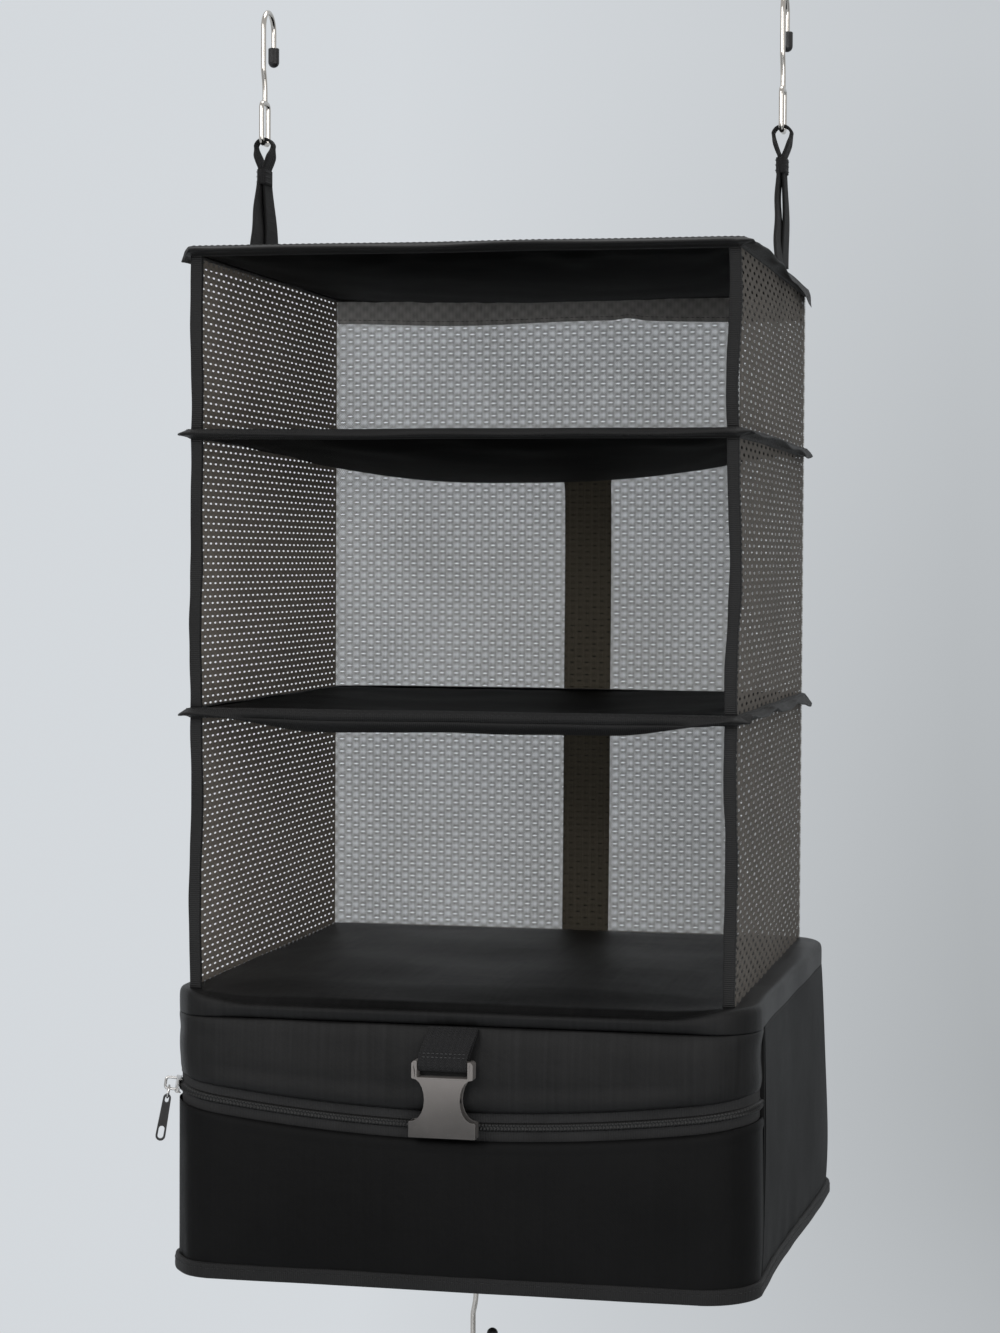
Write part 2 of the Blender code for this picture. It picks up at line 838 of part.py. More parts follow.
def hook_cap(name):
    """A turned vinyl cap, its bore over the tip of the wire."""
    bore = HOOK_WIRE / 2 + GAP
    wall = CAP_RADIUS
    top = CAP_BORE - GAP
    foot = top - CAP_LENGTH
    dome = [
        (x, z + foot + wall) for x, z in arc((0.0, 0.0), wall, 0, -90, 5)
    ]
    dome[-1] = (0.0, dome[-1][1])
    profile = [(0.0, -GAP), (bore, -GAP), (bore, top), (wall - CAP_ROUND, top)]
    profile += [(wall, top - CAP_ROUND)] + dome
    mesh = bpy.data.meshes.new(name)
    edges = [(i, i + 1) for i in range(len(profile) - 1)]
    mesh.from_pydata([(x, 0.0, z) for x, z in profile], edges, [])
    obj = add_object(name, mesh, "vinyl")
    screw = obj.modifiers.new("turn", "SCREW")
    screw.steps = 16
    screw.render_steps = 16
    screw.use_merge_vertices = True
    screw.merge_threshold = 0.00001
    return obj


def web_section(centre, along, thickness, width, width_axis):
    """The four corners of a webbing across its path."""
    along = Vector(along).normalized()
    across = Vector(width_axis).normalized()
    normal = along.cross(across).normalized()
    centre = Vector(centre)
    out = normal * thickness / 2
    side = across * width / 2
    return [centre - out - side, centre + out - side, centre + out + side, centre - out + side]


def hanging_strap(name, x):
    """A webbing loop through the hook's eye, tacked, its two legs sewn to the panel."""
    top = -HOOK_REACH + GAP + STRAP_WEB / 2
    tack = top - STRAP_TACK_DROP
    seat = TOP_LEVEL + FLANGE_HEIGHT / 2 + GAP
    spread = STRAP_LOOP_SPREAD - STRAP_WEB / 2
    path = [(-STRAP_TACKED_HALF, tack)]
    for rise in (0.45, 0.75):
        half = spread * math.sin(rise * math.pi / 2)
        path.append((-half, tack + STRAP_TACK_DROP * rise))
    crown = arc((0.0, 0.0), 1.0, 165, 90, 4)
    path += [(spread * c, top - spread * (1 - s)) for c, s in crown]
    path += [(-px, pz) for px, pz in reversed(path[:-1])]
    sections = []
    last = len(path) - 1
    for i, (px, pz) in enumerate(path):
        before = path[max(i - 1, 0)]
        after = path[min(i + 1, last)]
        along = (after[0] - before[0], 0.0, after[1] - before[1])
        share = min(1.0, STRAP_NARROWING * (pz - tack) / (top - tack))
        width = STRAP_TACK_DEPTH + (STRAP_LOOP_DEPTH - STRAP_TACK_DEPTH) * share
        sections.append(
            web_section((x + px, 0.0, pz), along, STRAP_WEB, width, (0.0, 1.0, 0.0))
        )
    loop = loft(name, "webbing", sections)
    half = STRAP_TACK_WIDTH / 2
    tack_block = box(
        f"{name}_tack",
        "webbing",
        (x - half, -STRAP_TACK_DEPTH / 2, tack - STRAP_TACK_HEIGHT),
        (x + half, STRAP_TACK_DEPTH / 2, tack + STRAP_TACK_LAP),
    )
    legs = []
    for label, sign in (("front", -1), ("rear", 1)):
        foot = (x, sign * STRAP_LEG_SPREAD, seat)
        head = (x + sign * STRAP_TACKED_HALF, 0.0, tack - STRAP_TACK_HEIGHT / 2)
        legs.append(strap_leg(f"{name}_{label}_leg", head, foot))
    combine(loop, [tack_block] + legs)


def strap_leg(name, head, foot):
    """A flat web from the tack down to the edge of the panel, cut level at its foot."""
    rows = []
    spans = 3
    for i in range(spans + 1):
        share = i / spans
        centre = Vector(head).lerp(Vector(foot), share)
        width = STRAP_LEG_HEAD + (STRAP_LEG_WIDTH - STRAP_LEG_HEAD) * share
        rows.append(
            web_section(centre, (0.0, 0.0, -1.0), STRAP_WEB, width, (0.0, 1.0, 0.0))
        )
    return loft(name, "webbing", rows)


def female_outline():
    """The buckle seen from the front, from its head down: ears, waist and mouth."""
    head = BUCKLE_HEAD / 2
    waist = BUCKLE_WAIST / 2
    mouth = BUCKLE_WIDTH / 2
    ear_foot = -BUCKLE_BAR - BUCKLE_SLOT - BUCKLE_CHAMFER / 2
    cheek = -BUCKLE_LENGTH + BUCKLE_CHEEK
    scallop = (ear_foot + cheek) / 2
    rise = (ear_foot - cheek) / 2
    right = [(head - BUCKLE_CHAMFER, 0.0), (head, -BUCKLE_CHAMFER)]
    steps = 10
    for i in range(steps + 1):
        turn = math.pi * (0.5 - i / steps)
        edge = head if i < steps / 2 else mouth
        inward = (edge - waist) * max(0.0, math.cos(turn)) ** SCALLOP_ROUNDNESS
        right.append((edge - inward, scallop + rise * math.sin(turn)))
    right.append((mouth, -BUCKLE_LENGTH))
    return right + [(-px, pz) for px, pz in reversed(right)]


def bar_fold(depth):
    """Radius at which the middle of a webbing turns round a bar of that depth."""
    return math.hypot(BUCKLE_BAR / 2, depth / 2) + GAP + WEBBING / 2


def female_buckle():
    """Hollow half of the side-release buckle, its bar held in the fold of the webbing."""
    z = LID_LEVEL - BUCKLE_DROP
    y = -BASE_Y - GAP * 2 - BUCKLE_DEPTH / 2
    frame = Matrix.Translation((BUCKLE_X, y, z)) @ Matrix.Rotation(math.radians(90), 4, "X")
    bar = pivot("female_buckle_bar", frame)
    lift = Matrix.Translation((0.0, BUCKLE_BAR / 2, 0.0))
    body = as_mesh(flat_shape("female_buckle", "plastic", female_outline(), BUCKLE_DEPTH))
    hollow_half = BUCKLE_WIDTH / 2 - BUCKLE_WALL
    roof = -BUCKLE_BAR - BUCKLE_SLOT - BUCKLE_ROOF
    cavity = box(
        "buckle_cavity",
        None,
        (-hollow_half, -BUCKLE_LENGTH - BUCKLE_WALL, -BUCKLE_DEPTH / 2 + BUCKLE_WALL),
        (hollow_half, roof, BUCKLE_DEPTH / 2 - BUCKLE_WALL),
    )
    slot_half = BUCKLE_HEAD / 2 - BUCKLE_RAIL
    window = box(
        "buckle_slot",
        None,
        (-slot_half, -BUCKLE_BAR - BUCKLE_SLOT, -BUCKLE_DEPTH),
        (slot_half, -BUCKLE_BAR, BUCKLE_DEPTH),
    )
    bar_relief = []
    for label, side in (("front", 1), ("back", -1)):
        near = side * BUCKLE_BAR / 2
        far = side * BUCKLE_DEPTH
        bar_relief.append(
            box(
                f"buckle_relief_{label}",
                None,
                (-slot_half, -BUCKLE_BAR - BUCKLE_SLOT / 4, min(near, far)),
                (slot_half, BUCKLE_BAR, max(near, far)),
            )
        )
    combine(body, [cavity, window] + bar_relief, "DIFFERENCE")
    for obj in [body, cavity, window] + bar_relief:
        carry(bar, obj, lift)
    buckle_webbing(y, z)


def buckle_webbing(y, z):
    """Sewn under the lid's rolled edge, down over the buckle's bar and back up."""
    radius = bar_fold(BUCKLE_BAR)
    top = LID_LEVEL - LID_DEPTH - GAP * 2
    bend = top - WEBBING_BEND
    inner = -BASE_Y + LID_INSET - GAP - WEBBING / 2
    path = [(inner - WEBBING - GAP, top), (y - radius * WEBBING_CLOSE, bend)]
    path += [(y + radius * c, z + radius * s) for c, s in arc((0, 0), 1.0, 180, 360, 8)]
    path += [(min(y + radius, inner), bend), (inner, top - GAP * 2)]
    sections = []
    last = len(path) - 1
    for i, (py, pz) in enumerate(path):
        before = path[max(i - 1, 0)]
        after = path[min(i + 1, last)]
        along = (0.0, after[0] - before[0], after[1] - before[1])
        sections.append(
            web_section((BUCKLE_X, py, pz), along, WEBBING, WEBBING_WIDTH, (1.0, 0.0, 0.0))
        )
    loft("buckle_webbing", "webbing", sections)


def rear_strap():
    """Sewn behind the upper shelf, it hangs down outside the back mesh."""
    y = DEPTH / 2 + FLANGE_REACH + GAP + WEBBING / 2
    hem_face = BASE_Y + SEAM_PROUD + GAP + HEM_THICKNESS
    hang_y = hem_face + REAR_STRAP_CLEARANCE + WEBBING / 2
    top = UPPER_LEVEL + FLANGE_HEIGHT / 2
    foot = UPPER_LEVEL - REAR_STRAP_LENGTH
    loop = bar_fold(TONGUE_DEPTH)
    path = [(y, top), (y, UPPER_LEVEL - REAR_STRAP_SEAM)]
    path += [(hang_y - REAR_STRAP_SETTLE, UPPER_LEVEL - REAR_STRAP_FLARE)]
    path += [(hang_y, UPPER_LEVEL - REAR_STRAP_LEVELS_OUT), (hang_y, foot + REAR_FOLD_CLOSES)]
    centre = hang_y + loop
    path += [(centre + loop * c, foot + loop * s) for c, s in arc((0, 0), 1.0, 180, 360, 8)]
    layer = hang_y + WEBBING + GAP
    path += [(centre + loop, foot + BUCKLE_BAR)]
    path += [(layer, foot + REAR_FOLD_CLOSES), (layer, foot + REAR_FOLD_SEAM)]
    sections = []
    last = len(path) - 1
    for i, (py, pz) in enumerate(path):
        before = path[max(i - 1, 0)]
        after = path[min(i + 1, last)]
        along = (0.0, after[0] - before[0], after[1] - before[1])
        width = REAR_STRAP_WIDTH if pz > foot + REAR_FOLD_TOP else WEBBING_WIDTH
        sections.append(
            web_section((REAR_STRAP_X, py, pz), along, WEBBING, width, (1.0, 0.0, 0.0))
        )
    loft("rear_strap", "webbing", sections)
    male_buckle(centre, foot)


def male_buckle(y, z):
    """Bar, tongue and two sprung arms of the mating half, hanging from the rear strap."""
    frame = Matrix.Translation((REAR_STRAP_X, y, z)) @ Matrix.Rotation(math.radians(90), 4, "X")
    slot_half = BUCKLE_HEAD / 2 - BUCKLE_RAIL
    head = BUCKLE_HEAD / 2
    plate = -BUCKLE_BAR / 2 - BUCKLE_SLOT
    shoulder = plate - SHOULDER_PLATE
    foot = shoulder - GAP
    tongue_half = TONGUE_WIDTH / 2
    outline = [
        (head - BUCKLE_CHAMFER, BUCKLE_BAR / 2),
        (head, BUCKLE_BAR / 2 - BUCKLE_CHAMFER),
        (head, shoulder + BUCKLE_CHAMFER),
        (head - BUCKLE_CHAMFER, shoulder),
        (tongue_half + TONGUE_ROOT, foot),
        (tongue_half, foot - TONGUE_ROOT),
        (tongue_half, shoulder - TONGUE_LENGTH + tongue_half),
        (tongue_half / 2, shoulder - TONGUE_LENGTH),
    ]
    outline += [(-px, pz) for px, pz in reversed(outline)]
    body = as_mesh(flat_shape("male_buckle", "plastic", outline, TONGUE_DEPTH))
    window = box(
        "male_slot",
        None,
        (-slot_half, plate, -BUCKLE_DEPTH),
        (slot_half, -BUCKLE_BAR / 2, BUCKLE_DEPTH),
    )
    combine(body, [window], "DIFFERENCE")
    body.matrix_world = frame
    window.matrix_world = frame
    for label, sign in (("left", -1), ("right", 1)):
        male_arm(label, sign, body, foot - GAP)


def male_arm(label, sign, body, root):
    """A sprung arm with a thumb pad, its origin at the root where it bends."""
    base = ARM_SPACING / 2
    pad = BUCKLE_WIDTH / 2 - BUCKLE_WALL - ARM_CLEARANCE
    face = pad - base
    inner = [
        (-ARM_WIDTH / 2, 0.0),
        (-ARM_WIDTH / 2, -ARM_STEM),
        (face - ARM_WIDTH, -ARM_FLARE),
        (face - ARM_WIDTH - ARM_FLARE_SLOPE, -ARM_LENGTH),
    ]
    outer = [
        (face - PAD_TAPER, -ARM_LENGTH),
        (face, -PAD_END),
        (face, -PAD_START),
        (face - ARM_STEP_DEPTH, -ARM_STEP),
        (ARM_WIDTH / 2, -ARM_ROOT),
        (ARM_WIDTH / 2, 0.0),
    ]
    outline = [(sign * px, pz) for px, pz in inner + outer]
    arm = flat_shape(f"male_buckle_{label}_arm", "plastic", outline, TONGUE_DEPTH)
    carry(body, arm, Matrix.Translation((sign * base, root, 0.0)))


def lower_hook():
    """A third hook, hung upside down from a webbing loop under the base."""
    z = BASE_FLOOR - LOWER_LOOP_DROP
    turn = Matrix.Rotation(math.radians(LOWER_HOOK_YAW), 4, "Z")
    place = Matrix.Translation((LOWER_HOOK_X, 0.0, z))
    flip = Matrix.Rotation(math.radians(180), 4, "X")
    hook("lower_hook", place @ turn @ flip)
    lower_loop(place @ turn, z)


def lower_loop(frame, z):
    """A folded web whose two ends are sewn flat under the floor."""
    radius = HOOK_WIRE / 2 + GAP + STRAP_WEB / 2
    seat = BASE_FLOOR - GAP - STRAP_WEB / 2 - z
    right = [(LOWER_LOOP_REACH, seat), (radius + LOWER_LOOP_BEND, seat)]
    right += [(radius + GAP * 2, seat - STRAP_WEB)]
    path = right + [(radius * c, radius * s) for c, s in arc((0, 0), 1.0, 0, -180, 8)]
    path += [(-px, pz) for px, pz in reversed(right)]
    sections = []
    last = len(path) - 1
    for i, (px, pz) in enumerate(path):
        before = path[max(i - 1, 0)]
        after = path[min(i + 1, last)]
        along = (after[0] - before[0], 0.0, after[1] - before[1])
        sections.append(
            web_section((px, 0.0, pz), along, STRAP_WEB, STRAP_LOOP_DEPTH, (0.0, 1.0, 0.0))
        )
    loop = loft("lower_loop", "webbing", sections)
    loop.matrix_world = frame


def main():
    clear_scene()
    new_collection("hanging_travel_organizer")
    new_collection("cutters")
    shelf("top_panel", TOP_LEVEL, TOP_SAG)
    shelf("upper_shelf", UPPER_LEVEL, UPPER_SHELF_SAG)
    shelf("lower_shelf", LOWER_LEVEL, LOWER_SHELF_SAG)
    half = BINDING_HEIGHT / 2
    tier_walls("top_tier", TOP_LEVEL, UPPER_LEVEL, half)
    tier_walls("middle_tier", UPPER_LEVEL, LOWER_LEVEL, half)
    tier_walls("lower_tier", LOWER_LEVEL, LID_LEVEL, WALL_FOOT_CLEARANCE)
    back_band()
    base_lid()
    base_panels()
    zip_chain()
    zip_slider()
    for label, side in (("left", -1), ("right", 1)):
        x = side * (WIDTH / 2 + STRAP_OUTSET)
        foot = -HOOK_REACH - HOOK_WIRE / 2
        hook(f"{label}_hook", Matrix.Translation((x, 0.0, foot)))
        hanging_strap(f"{label}_strap", x)
    female_buckle()
    rear_strap()
    lower_hook()


main()
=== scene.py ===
import math

import bmesh
import bpy
import numpy as np
from mathutils import Matrix, Vector


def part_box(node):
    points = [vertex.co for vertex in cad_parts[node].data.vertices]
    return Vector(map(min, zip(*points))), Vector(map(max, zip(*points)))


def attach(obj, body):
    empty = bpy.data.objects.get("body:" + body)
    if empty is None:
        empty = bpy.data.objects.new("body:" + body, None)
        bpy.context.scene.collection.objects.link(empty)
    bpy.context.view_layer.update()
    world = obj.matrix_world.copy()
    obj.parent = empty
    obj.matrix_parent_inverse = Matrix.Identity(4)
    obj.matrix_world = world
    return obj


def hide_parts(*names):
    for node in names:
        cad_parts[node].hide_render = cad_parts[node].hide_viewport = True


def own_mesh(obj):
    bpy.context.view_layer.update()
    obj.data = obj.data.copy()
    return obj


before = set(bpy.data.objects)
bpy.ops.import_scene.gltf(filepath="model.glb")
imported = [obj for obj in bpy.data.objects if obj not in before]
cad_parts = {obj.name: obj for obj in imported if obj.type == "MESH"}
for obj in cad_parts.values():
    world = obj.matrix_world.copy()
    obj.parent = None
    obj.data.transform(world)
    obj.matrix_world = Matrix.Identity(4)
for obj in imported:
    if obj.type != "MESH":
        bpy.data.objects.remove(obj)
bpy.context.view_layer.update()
print("frame loaded:", len(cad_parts), "nodes")

# Levels and half sizes of the organizer in metres, as the frame has them
size = {
    "half": 0.15,
    "topLevel": -0.1544,
    "upperLevel": -0.2534,
    "lowerLevel": -0.4044,
    "lidLevel": -0.555,
    "floorLevel": -0.711,
    "gap": 0.0003,
    "baseHalf": 0.162,
    "baseCorner": 0.03,
    "baseLean": 0.0075,
    "seamY": -0.125,
    "seamWidth": 0.0036,
}


# Small tools for arrays


def smoothStep(low, high, value):
    # 0 below low, 1 above high, with an S curve between
    share = np.clip((value - low) / (high - low), 0.0, 1.0)
    return share * share * (3.0 - 2.0 * share)


def ripple(u, v, seed, wavelength):
    # smooth wandering height of about -1 to 1: a sum of sines in seeded directions
    dice = np.random.default_rng(seed)
    waves = 6
    total = np.zeros(np.broadcast(u, v).shape)
    for _ in range(waves):
        turn = dice.uniform(0.0, 2.0 * math.pi)
        pace = 2.0 * math.pi / (wavelength * dice.uniform(0.7, 1.7))
        shift = dice.uniform(0.0, 2.0 * math.pi)
        total += np.sin(pace * (u * math.cos(turn) + v * math.sin(turn)) + shift)
    return total / math.sqrt(2.0 * waves)


def roundCorners(points, passes=2, ring=False):
    # corner cutting: each pass puts points at a quarter and three quarters of every span
    path = np.asarray(points, float)
    for _ in range(passes):
        after = np.roll(path, -1, axis=0) if ring else path[1:]
        before = path if ring else path[:-1]
        near = 0.75 * before + 0.25 * after
        far = 0.25 * before + 0.75 * after
        cut = np.stack([near, far], axis=1).reshape(-1, path.shape[1])
        path = cut if ring else np.vstack([path[:1], cut, path[-1:]])
    return path


def closed(path):
    # a ring of points with its first one again at the end
    return np.vstack([path, path[:1]])


def lengthsAlong(path):
    # running length at each point of a path
    steps = np.linalg.norm(np.diff(path, axis=0), axis=1)
    return np.concatenate([[0.0], np.cumsum(steps)])


def evenly(path, count):
    # the same path with its points at equal distances
    run = lengthsAlong(path)
    spots = np.linspace(0.0, run[-1], count)
    return np.stack([np.interp(spots, run, path[:, k]) for k in range(path.shape[1])], axis=1)


def arc(centre, radius, start, end, count):
    # points round a centre, from one angle in degrees to another
    turn = np.radians(np.linspace(start, end, count))
    return np.stack([centre[0] + radius * np.cos(turn), centre[1] + radius * np.sin(turn)], axis=1)


def joined(x, y, z):
    # points out of three coordinates of any matching shapes
    return np.stack(np.broadcast_arrays(x, y, z), axis=-1)


def moved(points, matrix):
    # every point of an array through a 4 by 4 matrix
    turn = np.array(matrix)[:3, :3]
    return points @ turn.T + np.array(matrix)[:3, 3]


def reshaped(parts, change):
    # the same parts with change() applied to their points
    return [(change(points), faces, uv) for points, faces, uv in parts]


# Meshes out of arrays


def gridPart(points, along, across, ringRows=False, ringColumns=False):
    # quads over a grid of points; along and across are the cloth's own lengths, for its weave
    rows, columns = points.shape[:2]
    i = np.arange(rows if ringRows else rows - 1)[:, None]
    j = np.arange(columns if ringColumns else columns - 1)[None, :]
    i, j = np.broadcast_arrays(i, j)
    nextI = (i + 1) % rows
    nextJ = (j + 1) % columns
    faces = np.stack([i * columns + j, nextI * columns + j,
                      nextI * columns + nextJ, i * columns + nextJ], axis=-1)
    along = np.asarray(along, float)
    across = np.asarray(across, float)
    u = np.stack([along[i], along[i + 1], along[i + 1], along[i]], axis=-1)
    v = np.stack([across[j], across[j], across[j + 1], across[j + 1]], axis=-1)
    uv = np.stack([u, v], axis=-1)
    return points.reshape(-1, 3), faces.reshape(-1, 4), uv.reshape(-1, 4, 2)


def capPart(rim):
    # a fan of triangles that closes a loop of points at its middle
    count = len(rim)
    middle = rim.mean(axis=0)
    points = np.vstack([rim, middle[None]])
    i = np.arange(count)
    faces = np.stack([i, (i + 1) % count, np.full(count, count)], axis=-1)
    return points, faces, (points - middle)[:, :2][faces]


def makeMesh(name, parts, weld=1e-6, outward=True):
    # one mesh out of parts, its shared edges welded and its faces turned outwards
    mesh = bpy.data.meshes.new(name)
    offset = 0
    corners, sizes, places, uvs = [], [], [], []
    for points, faces, uv in parts:
        places.append(points)
        corners.append((faces + offset).ravel())
        sizes.append(np.full(len(faces), faces.shape[1]))
        uvs.append(uv.reshape(-1, 2))
        offset += len(points)
    sizes = np.concatenate(sizes)
    starts = np.concatenate([[0], np.cumsum(sizes)[:-1]])
    mesh.vertices.add(offset)
    mesh.vertices.foreach_set("co", np.concatenate(places).astype(np.float32).ravel())
    mesh.loops.add(int(sizes.sum()))
    mesh.loops.foreach_set("vertex_index", np.concatenate(corners).astype(np.int32))
    mesh.polygons.add(len(sizes))
    mesh.polygons.foreach_set("loop_start", starts.astype(np.int32))
    mesh.update(calc_edges=True)
    layer = mesh.uv_layers.new(name="cloth")
    layer.data.foreach_set("uv", np.concatenate(uvs).astype(np.float32).ravel())
    work = bmesh.new()
    work.from_mesh(mesh)
    if weld:
        bmesh.ops.remove_doubles(work, verts=work.verts, dist=weld)
    if outward:
        bmesh.ops.recalc_face_normals(work, faces=work.faces)
    work.to_mesh(mesh)
    work.free()
    mesh.shade_smooth()
    return mesh


def addObject(name, data):
    added = bpy.data.objects.new(name, data)
    bpy.context.scene.collection.objects.link(added)
    return added


def addPiece(name, mesh, finish, body, slot, *nodes):
    # an object with what carries it (a body's name, or a tier, whose body carries a mesh of its own) and the
    # nodes that it stands for; slot is not used
    mesh.materials.append(finishes[finish])
    piece = addObject(name, mesh)
    if isinstance(body, str):
        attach(piece, body)
    else:
        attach(piece, body["rides"])
        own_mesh(piece)
    if nodes:
        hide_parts(*nodes)
    return piece


def makePiece(name, finish, parts, body, slot, *nodes, weld=1e-6):
    return addPiece(name, makeMesh(name, parts, weld), finish, body, slot, *nodes)


def sweepPart(loops, along, ring=False):
    # closed loops of points, one after the other along a path, with both ends closed
    around = lengthsAlong(closed(loops[len(loops) // 2]))
    parts = [gridPart(loops, along, around, ringRows=ring, ringColumns=True)]
    if not ring:
        parts += [capPart(loops[0]), capPart(loops[-1])]
    return parts


def bandPart(loops, run):
    # closed loops of points that follow each other round a ring
    return gridPart(loops, run, lengthsAlong(closed(loops[0])), ringRows=True, ringColumns=True)


def sharpen(piece, degrees):
    # smooth faces with a sharp line wherever they meet at more than that angle
    piece.data.set_sharp_from_angle(angle=math.radians(degrees))


# Materials


def mathNode(operation, swapped=False):
    # a method of a strand that adds one Math node
    def method(self, other=0.0):
        pair = (other, self) if swapped else (self, other)
        return self.finish.node("ShaderNodeMath", {"operation": operation}, dict(enumerate(pair)))
    return method


class Strand:
    # one output of a material's nodes; + - * on it add Math nodes
    def __init__(self, finish, socket):
        self.finish = finish
        self.socket = socket

    __add__ = __radd__ = mathNode("ADD")
    __sub__ = mathNode("SUBTRACT")
    __rsub__ = mathNode("SUBTRACT", swapped=True)
    __mul__ = __rmul__ = mathNode("MULTIPLY")
    __abs__ = mathNode("ABSOLUTE")
    sine = mathNode("SINE")
    larger = mathNode("MAXIMUM")

    def ramp(self, low, high):
        # 0 at low, 1 at high, straight between, and held there outside
        sockets = {"Value": self, "From Min": low, "From Max": high}
        return self.finish.node("ShaderNodeMapRange", {"clamp": True}, sockets)


class Finish:
    # one material; node() adds any node, its settings first and then its sockets
    def __init__(self, name, **constants):
        self.material = bpy.data.materials.new(name)
        self.material.use_nodes = True
        self.tree = self.material.node_tree
        self.shader = self.tree.nodes["Principled BSDF"]
        for socket, value in constants.items():
            self.put(socket.replace("_", " "), value)

    def node(self, kind, settings={}, sockets={}, output=0):
        made = self.tree.nodes.new(kind)
        for key, value in settings.items():
            setattr(made, key, value)
        for key, value in sockets.items():
            self.join(value, made.inputs[key])
        return Strand(self, made.outputs[output])

    def join(self, value, target):
        if isinstance(value, Strand):
            self.tree.links.new(value.socket, target)
        else:
            target.default_value = value

    def put(self, socket, value):
        self.join(value, self.shader.inputs[socket])

    def along(self):
        # the cloth's own lengths in metres, from the piece's UV map
        return self.parts(self.node("ShaderNodeUVMap", {"uv_map": "cloth"}))

    def place(self):
        # where a point is on the object, in metres
        return self.node("ShaderNodeTexCoord", output="Object")

    def parts(self, vector):
        split = self.node("ShaderNodeSeparateXYZ", {}, {0: vector})
        return [Strand(self, output) for output in split.socket.node.outputs]

    def noise(self, scale, detail=3.0, roughness=0.55, where=None):
        sockets = {"Vector": where or self.place(), "Scale": scale,
                   "Detail": detail, "Roughness": roughness}
        return self.node("ShaderNodeTexNoise", {}, sockets)

    def blend(self, share, first, second):
        # from the first colour to the second
        sockets = {0: share}
        for key, colour in ((6, first), (7, second)):
            sockets[key] = colour if isinstance(colour, Strand) else (*colour, 1.0)
        return self.node("ShaderNodeMix", {"data_type": "RGBA"}, sockets, output=2)

    def coat(self, share, look, roughness, relief):
        # the whole coat: a colour from the look's dark to its light, the roughness and the relief
        self.put("Base Color", self.blend(share, look["dark"], look["light"]))
        self.put("Roughness", roughness)
        self.put("Normal", relief)
        return self.material

    def bump(self, height, distance, strength=1.0, onto=None):
        sockets = {"Height": height, "Distance": distance, "Strength": strength}
        if onto is not None:
            sockets["Normal"] = onto
        return self.node("ShaderNodeBump", {}, sockets)


def wave(length, pitch):
    # a sine of a running length, one whole turn for each pitch
    return (length * (2.0 * math.pi / pitch)).sine()


def nylonFinish(name, look):
    # woven nylon: a plain weave, faint upright streaks in the cloth's own lengths, glossier there and painted
    # paler as a painted sheen, soft crumples
    finish = Finish(name, Specular_IOR_Level=look["gloss"])
    u, v, _ = finish.along()
    weave = wave(u, look["thread"]) * wave(v, look["thread"])
    lines = finish.node("ShaderNodeCombineXYZ", {}, {0: u * 420.0, 1: v * 8.0})
    streaks = finish.noise(1.0, 3.0, 0.6, lines)
    cloudy = finish.noise(look["cloud"], 4.0)
    crumple = finish.noise(38.0, 5.0, 0.6)
    # painted sheen: the upright streaks lighten the colour
    tone = cloudy.ramp(0.3, 0.7) * 0.5 + streaks.ramp(0.35, 0.75) * look["streak"] + weave * 0.12
    fine = finish.bump(weave * 0.5 + streaks * 0.8, 0.00016, look["weave"])
    rough = look["roughness"] + (cloudy - 0.5) * 0.22 - streaks * look["streak"] * 0.12
    return finish.coat(tone, look, rough, finish.bump(crumple, 0.0016, look["crumple"], fine))


def meshFinish(name, look):
    # knitted net; its UV map counts cells, so A = cos(2 pi u) sin(pi v) is -1 at every hole and +1 midway
    # between; fine pores open where A is high, the knit is denser round the holes, and the colour darkens round
    # the holes as painted shade
    finish = Finish(name, Specular_IOR_Level=0.2, Sheen_Weight=0.04, Sheen_Roughness=0.5)
    u, v, _ = finish.along()
    between = wave(u + 0.25, 1.0) * wave(v, 2.0)
    pores = wave(u, 0.125) * wave(v, 0.25)
    loops = wave(u + v * 0.5, 0.25) * wave(v, 0.5)
    cloudy = finish.noise(14.0, 4.0)
    # painted shade: the tone is darker round every hole
    tone = between * 0.3 + loops * 0.15 + 0.3 + cloudy * 0.4
    knit = pores + between * look["cells"] + cloudy * 0.24 - 0.12
    pored = knit.ramp(look["closed"] - 0.12, look["closed"] + 0.12)
    finish.put("Alpha", 1.0 - pored * look["clear"])
    relief = finish.bump(between * 0.6 + loops * 0.4, 0.00025, 0.8)
    return finish.coat(tone, look, 0.82 + loops * 0.06, relief)


def tapeFinish(name, look):
    # ribbed binding tape, its ribs across the tape, with painted light: paler where it faces up, as if lit from
    # above
    finish = Finish(name, Specular_IOR_Level=look["gloss"], Sheen_Weight=0.03, Sheen_Roughness=0.5)
    u, v, _ = finish.along()
    ribs = wave(u, look["rib"])
    grain = wave(v, 0.0006)
    cloudy = finish.noise(24.0, 4.0)
    upward = finish.parts(finish.node("ShaderNodeNewGeometry", output="Normal"))[2].ramp(-0.1, 0.8)
    tone = cloudy.ramp(0.3, 0.75) * 0.6 + (ribs * 0.5 + 0.5) * 0.4
    # painted light: faces turned up are pulled toward the light colour
    tone = tone * (1.0 - look["rubbed"]) + upward * look["rubbed"]
    fine = finish.bump(ribs * 0.7 + grain * 0.3, 0.00018, 0.7)
    relief = finish.bump(finish.noise(60.0, 4.0), 0.001, 0.35, fine)
    return finish.coat(tone, look, look["roughness"] + (cloudy - 0.5) * 0.2, relief)


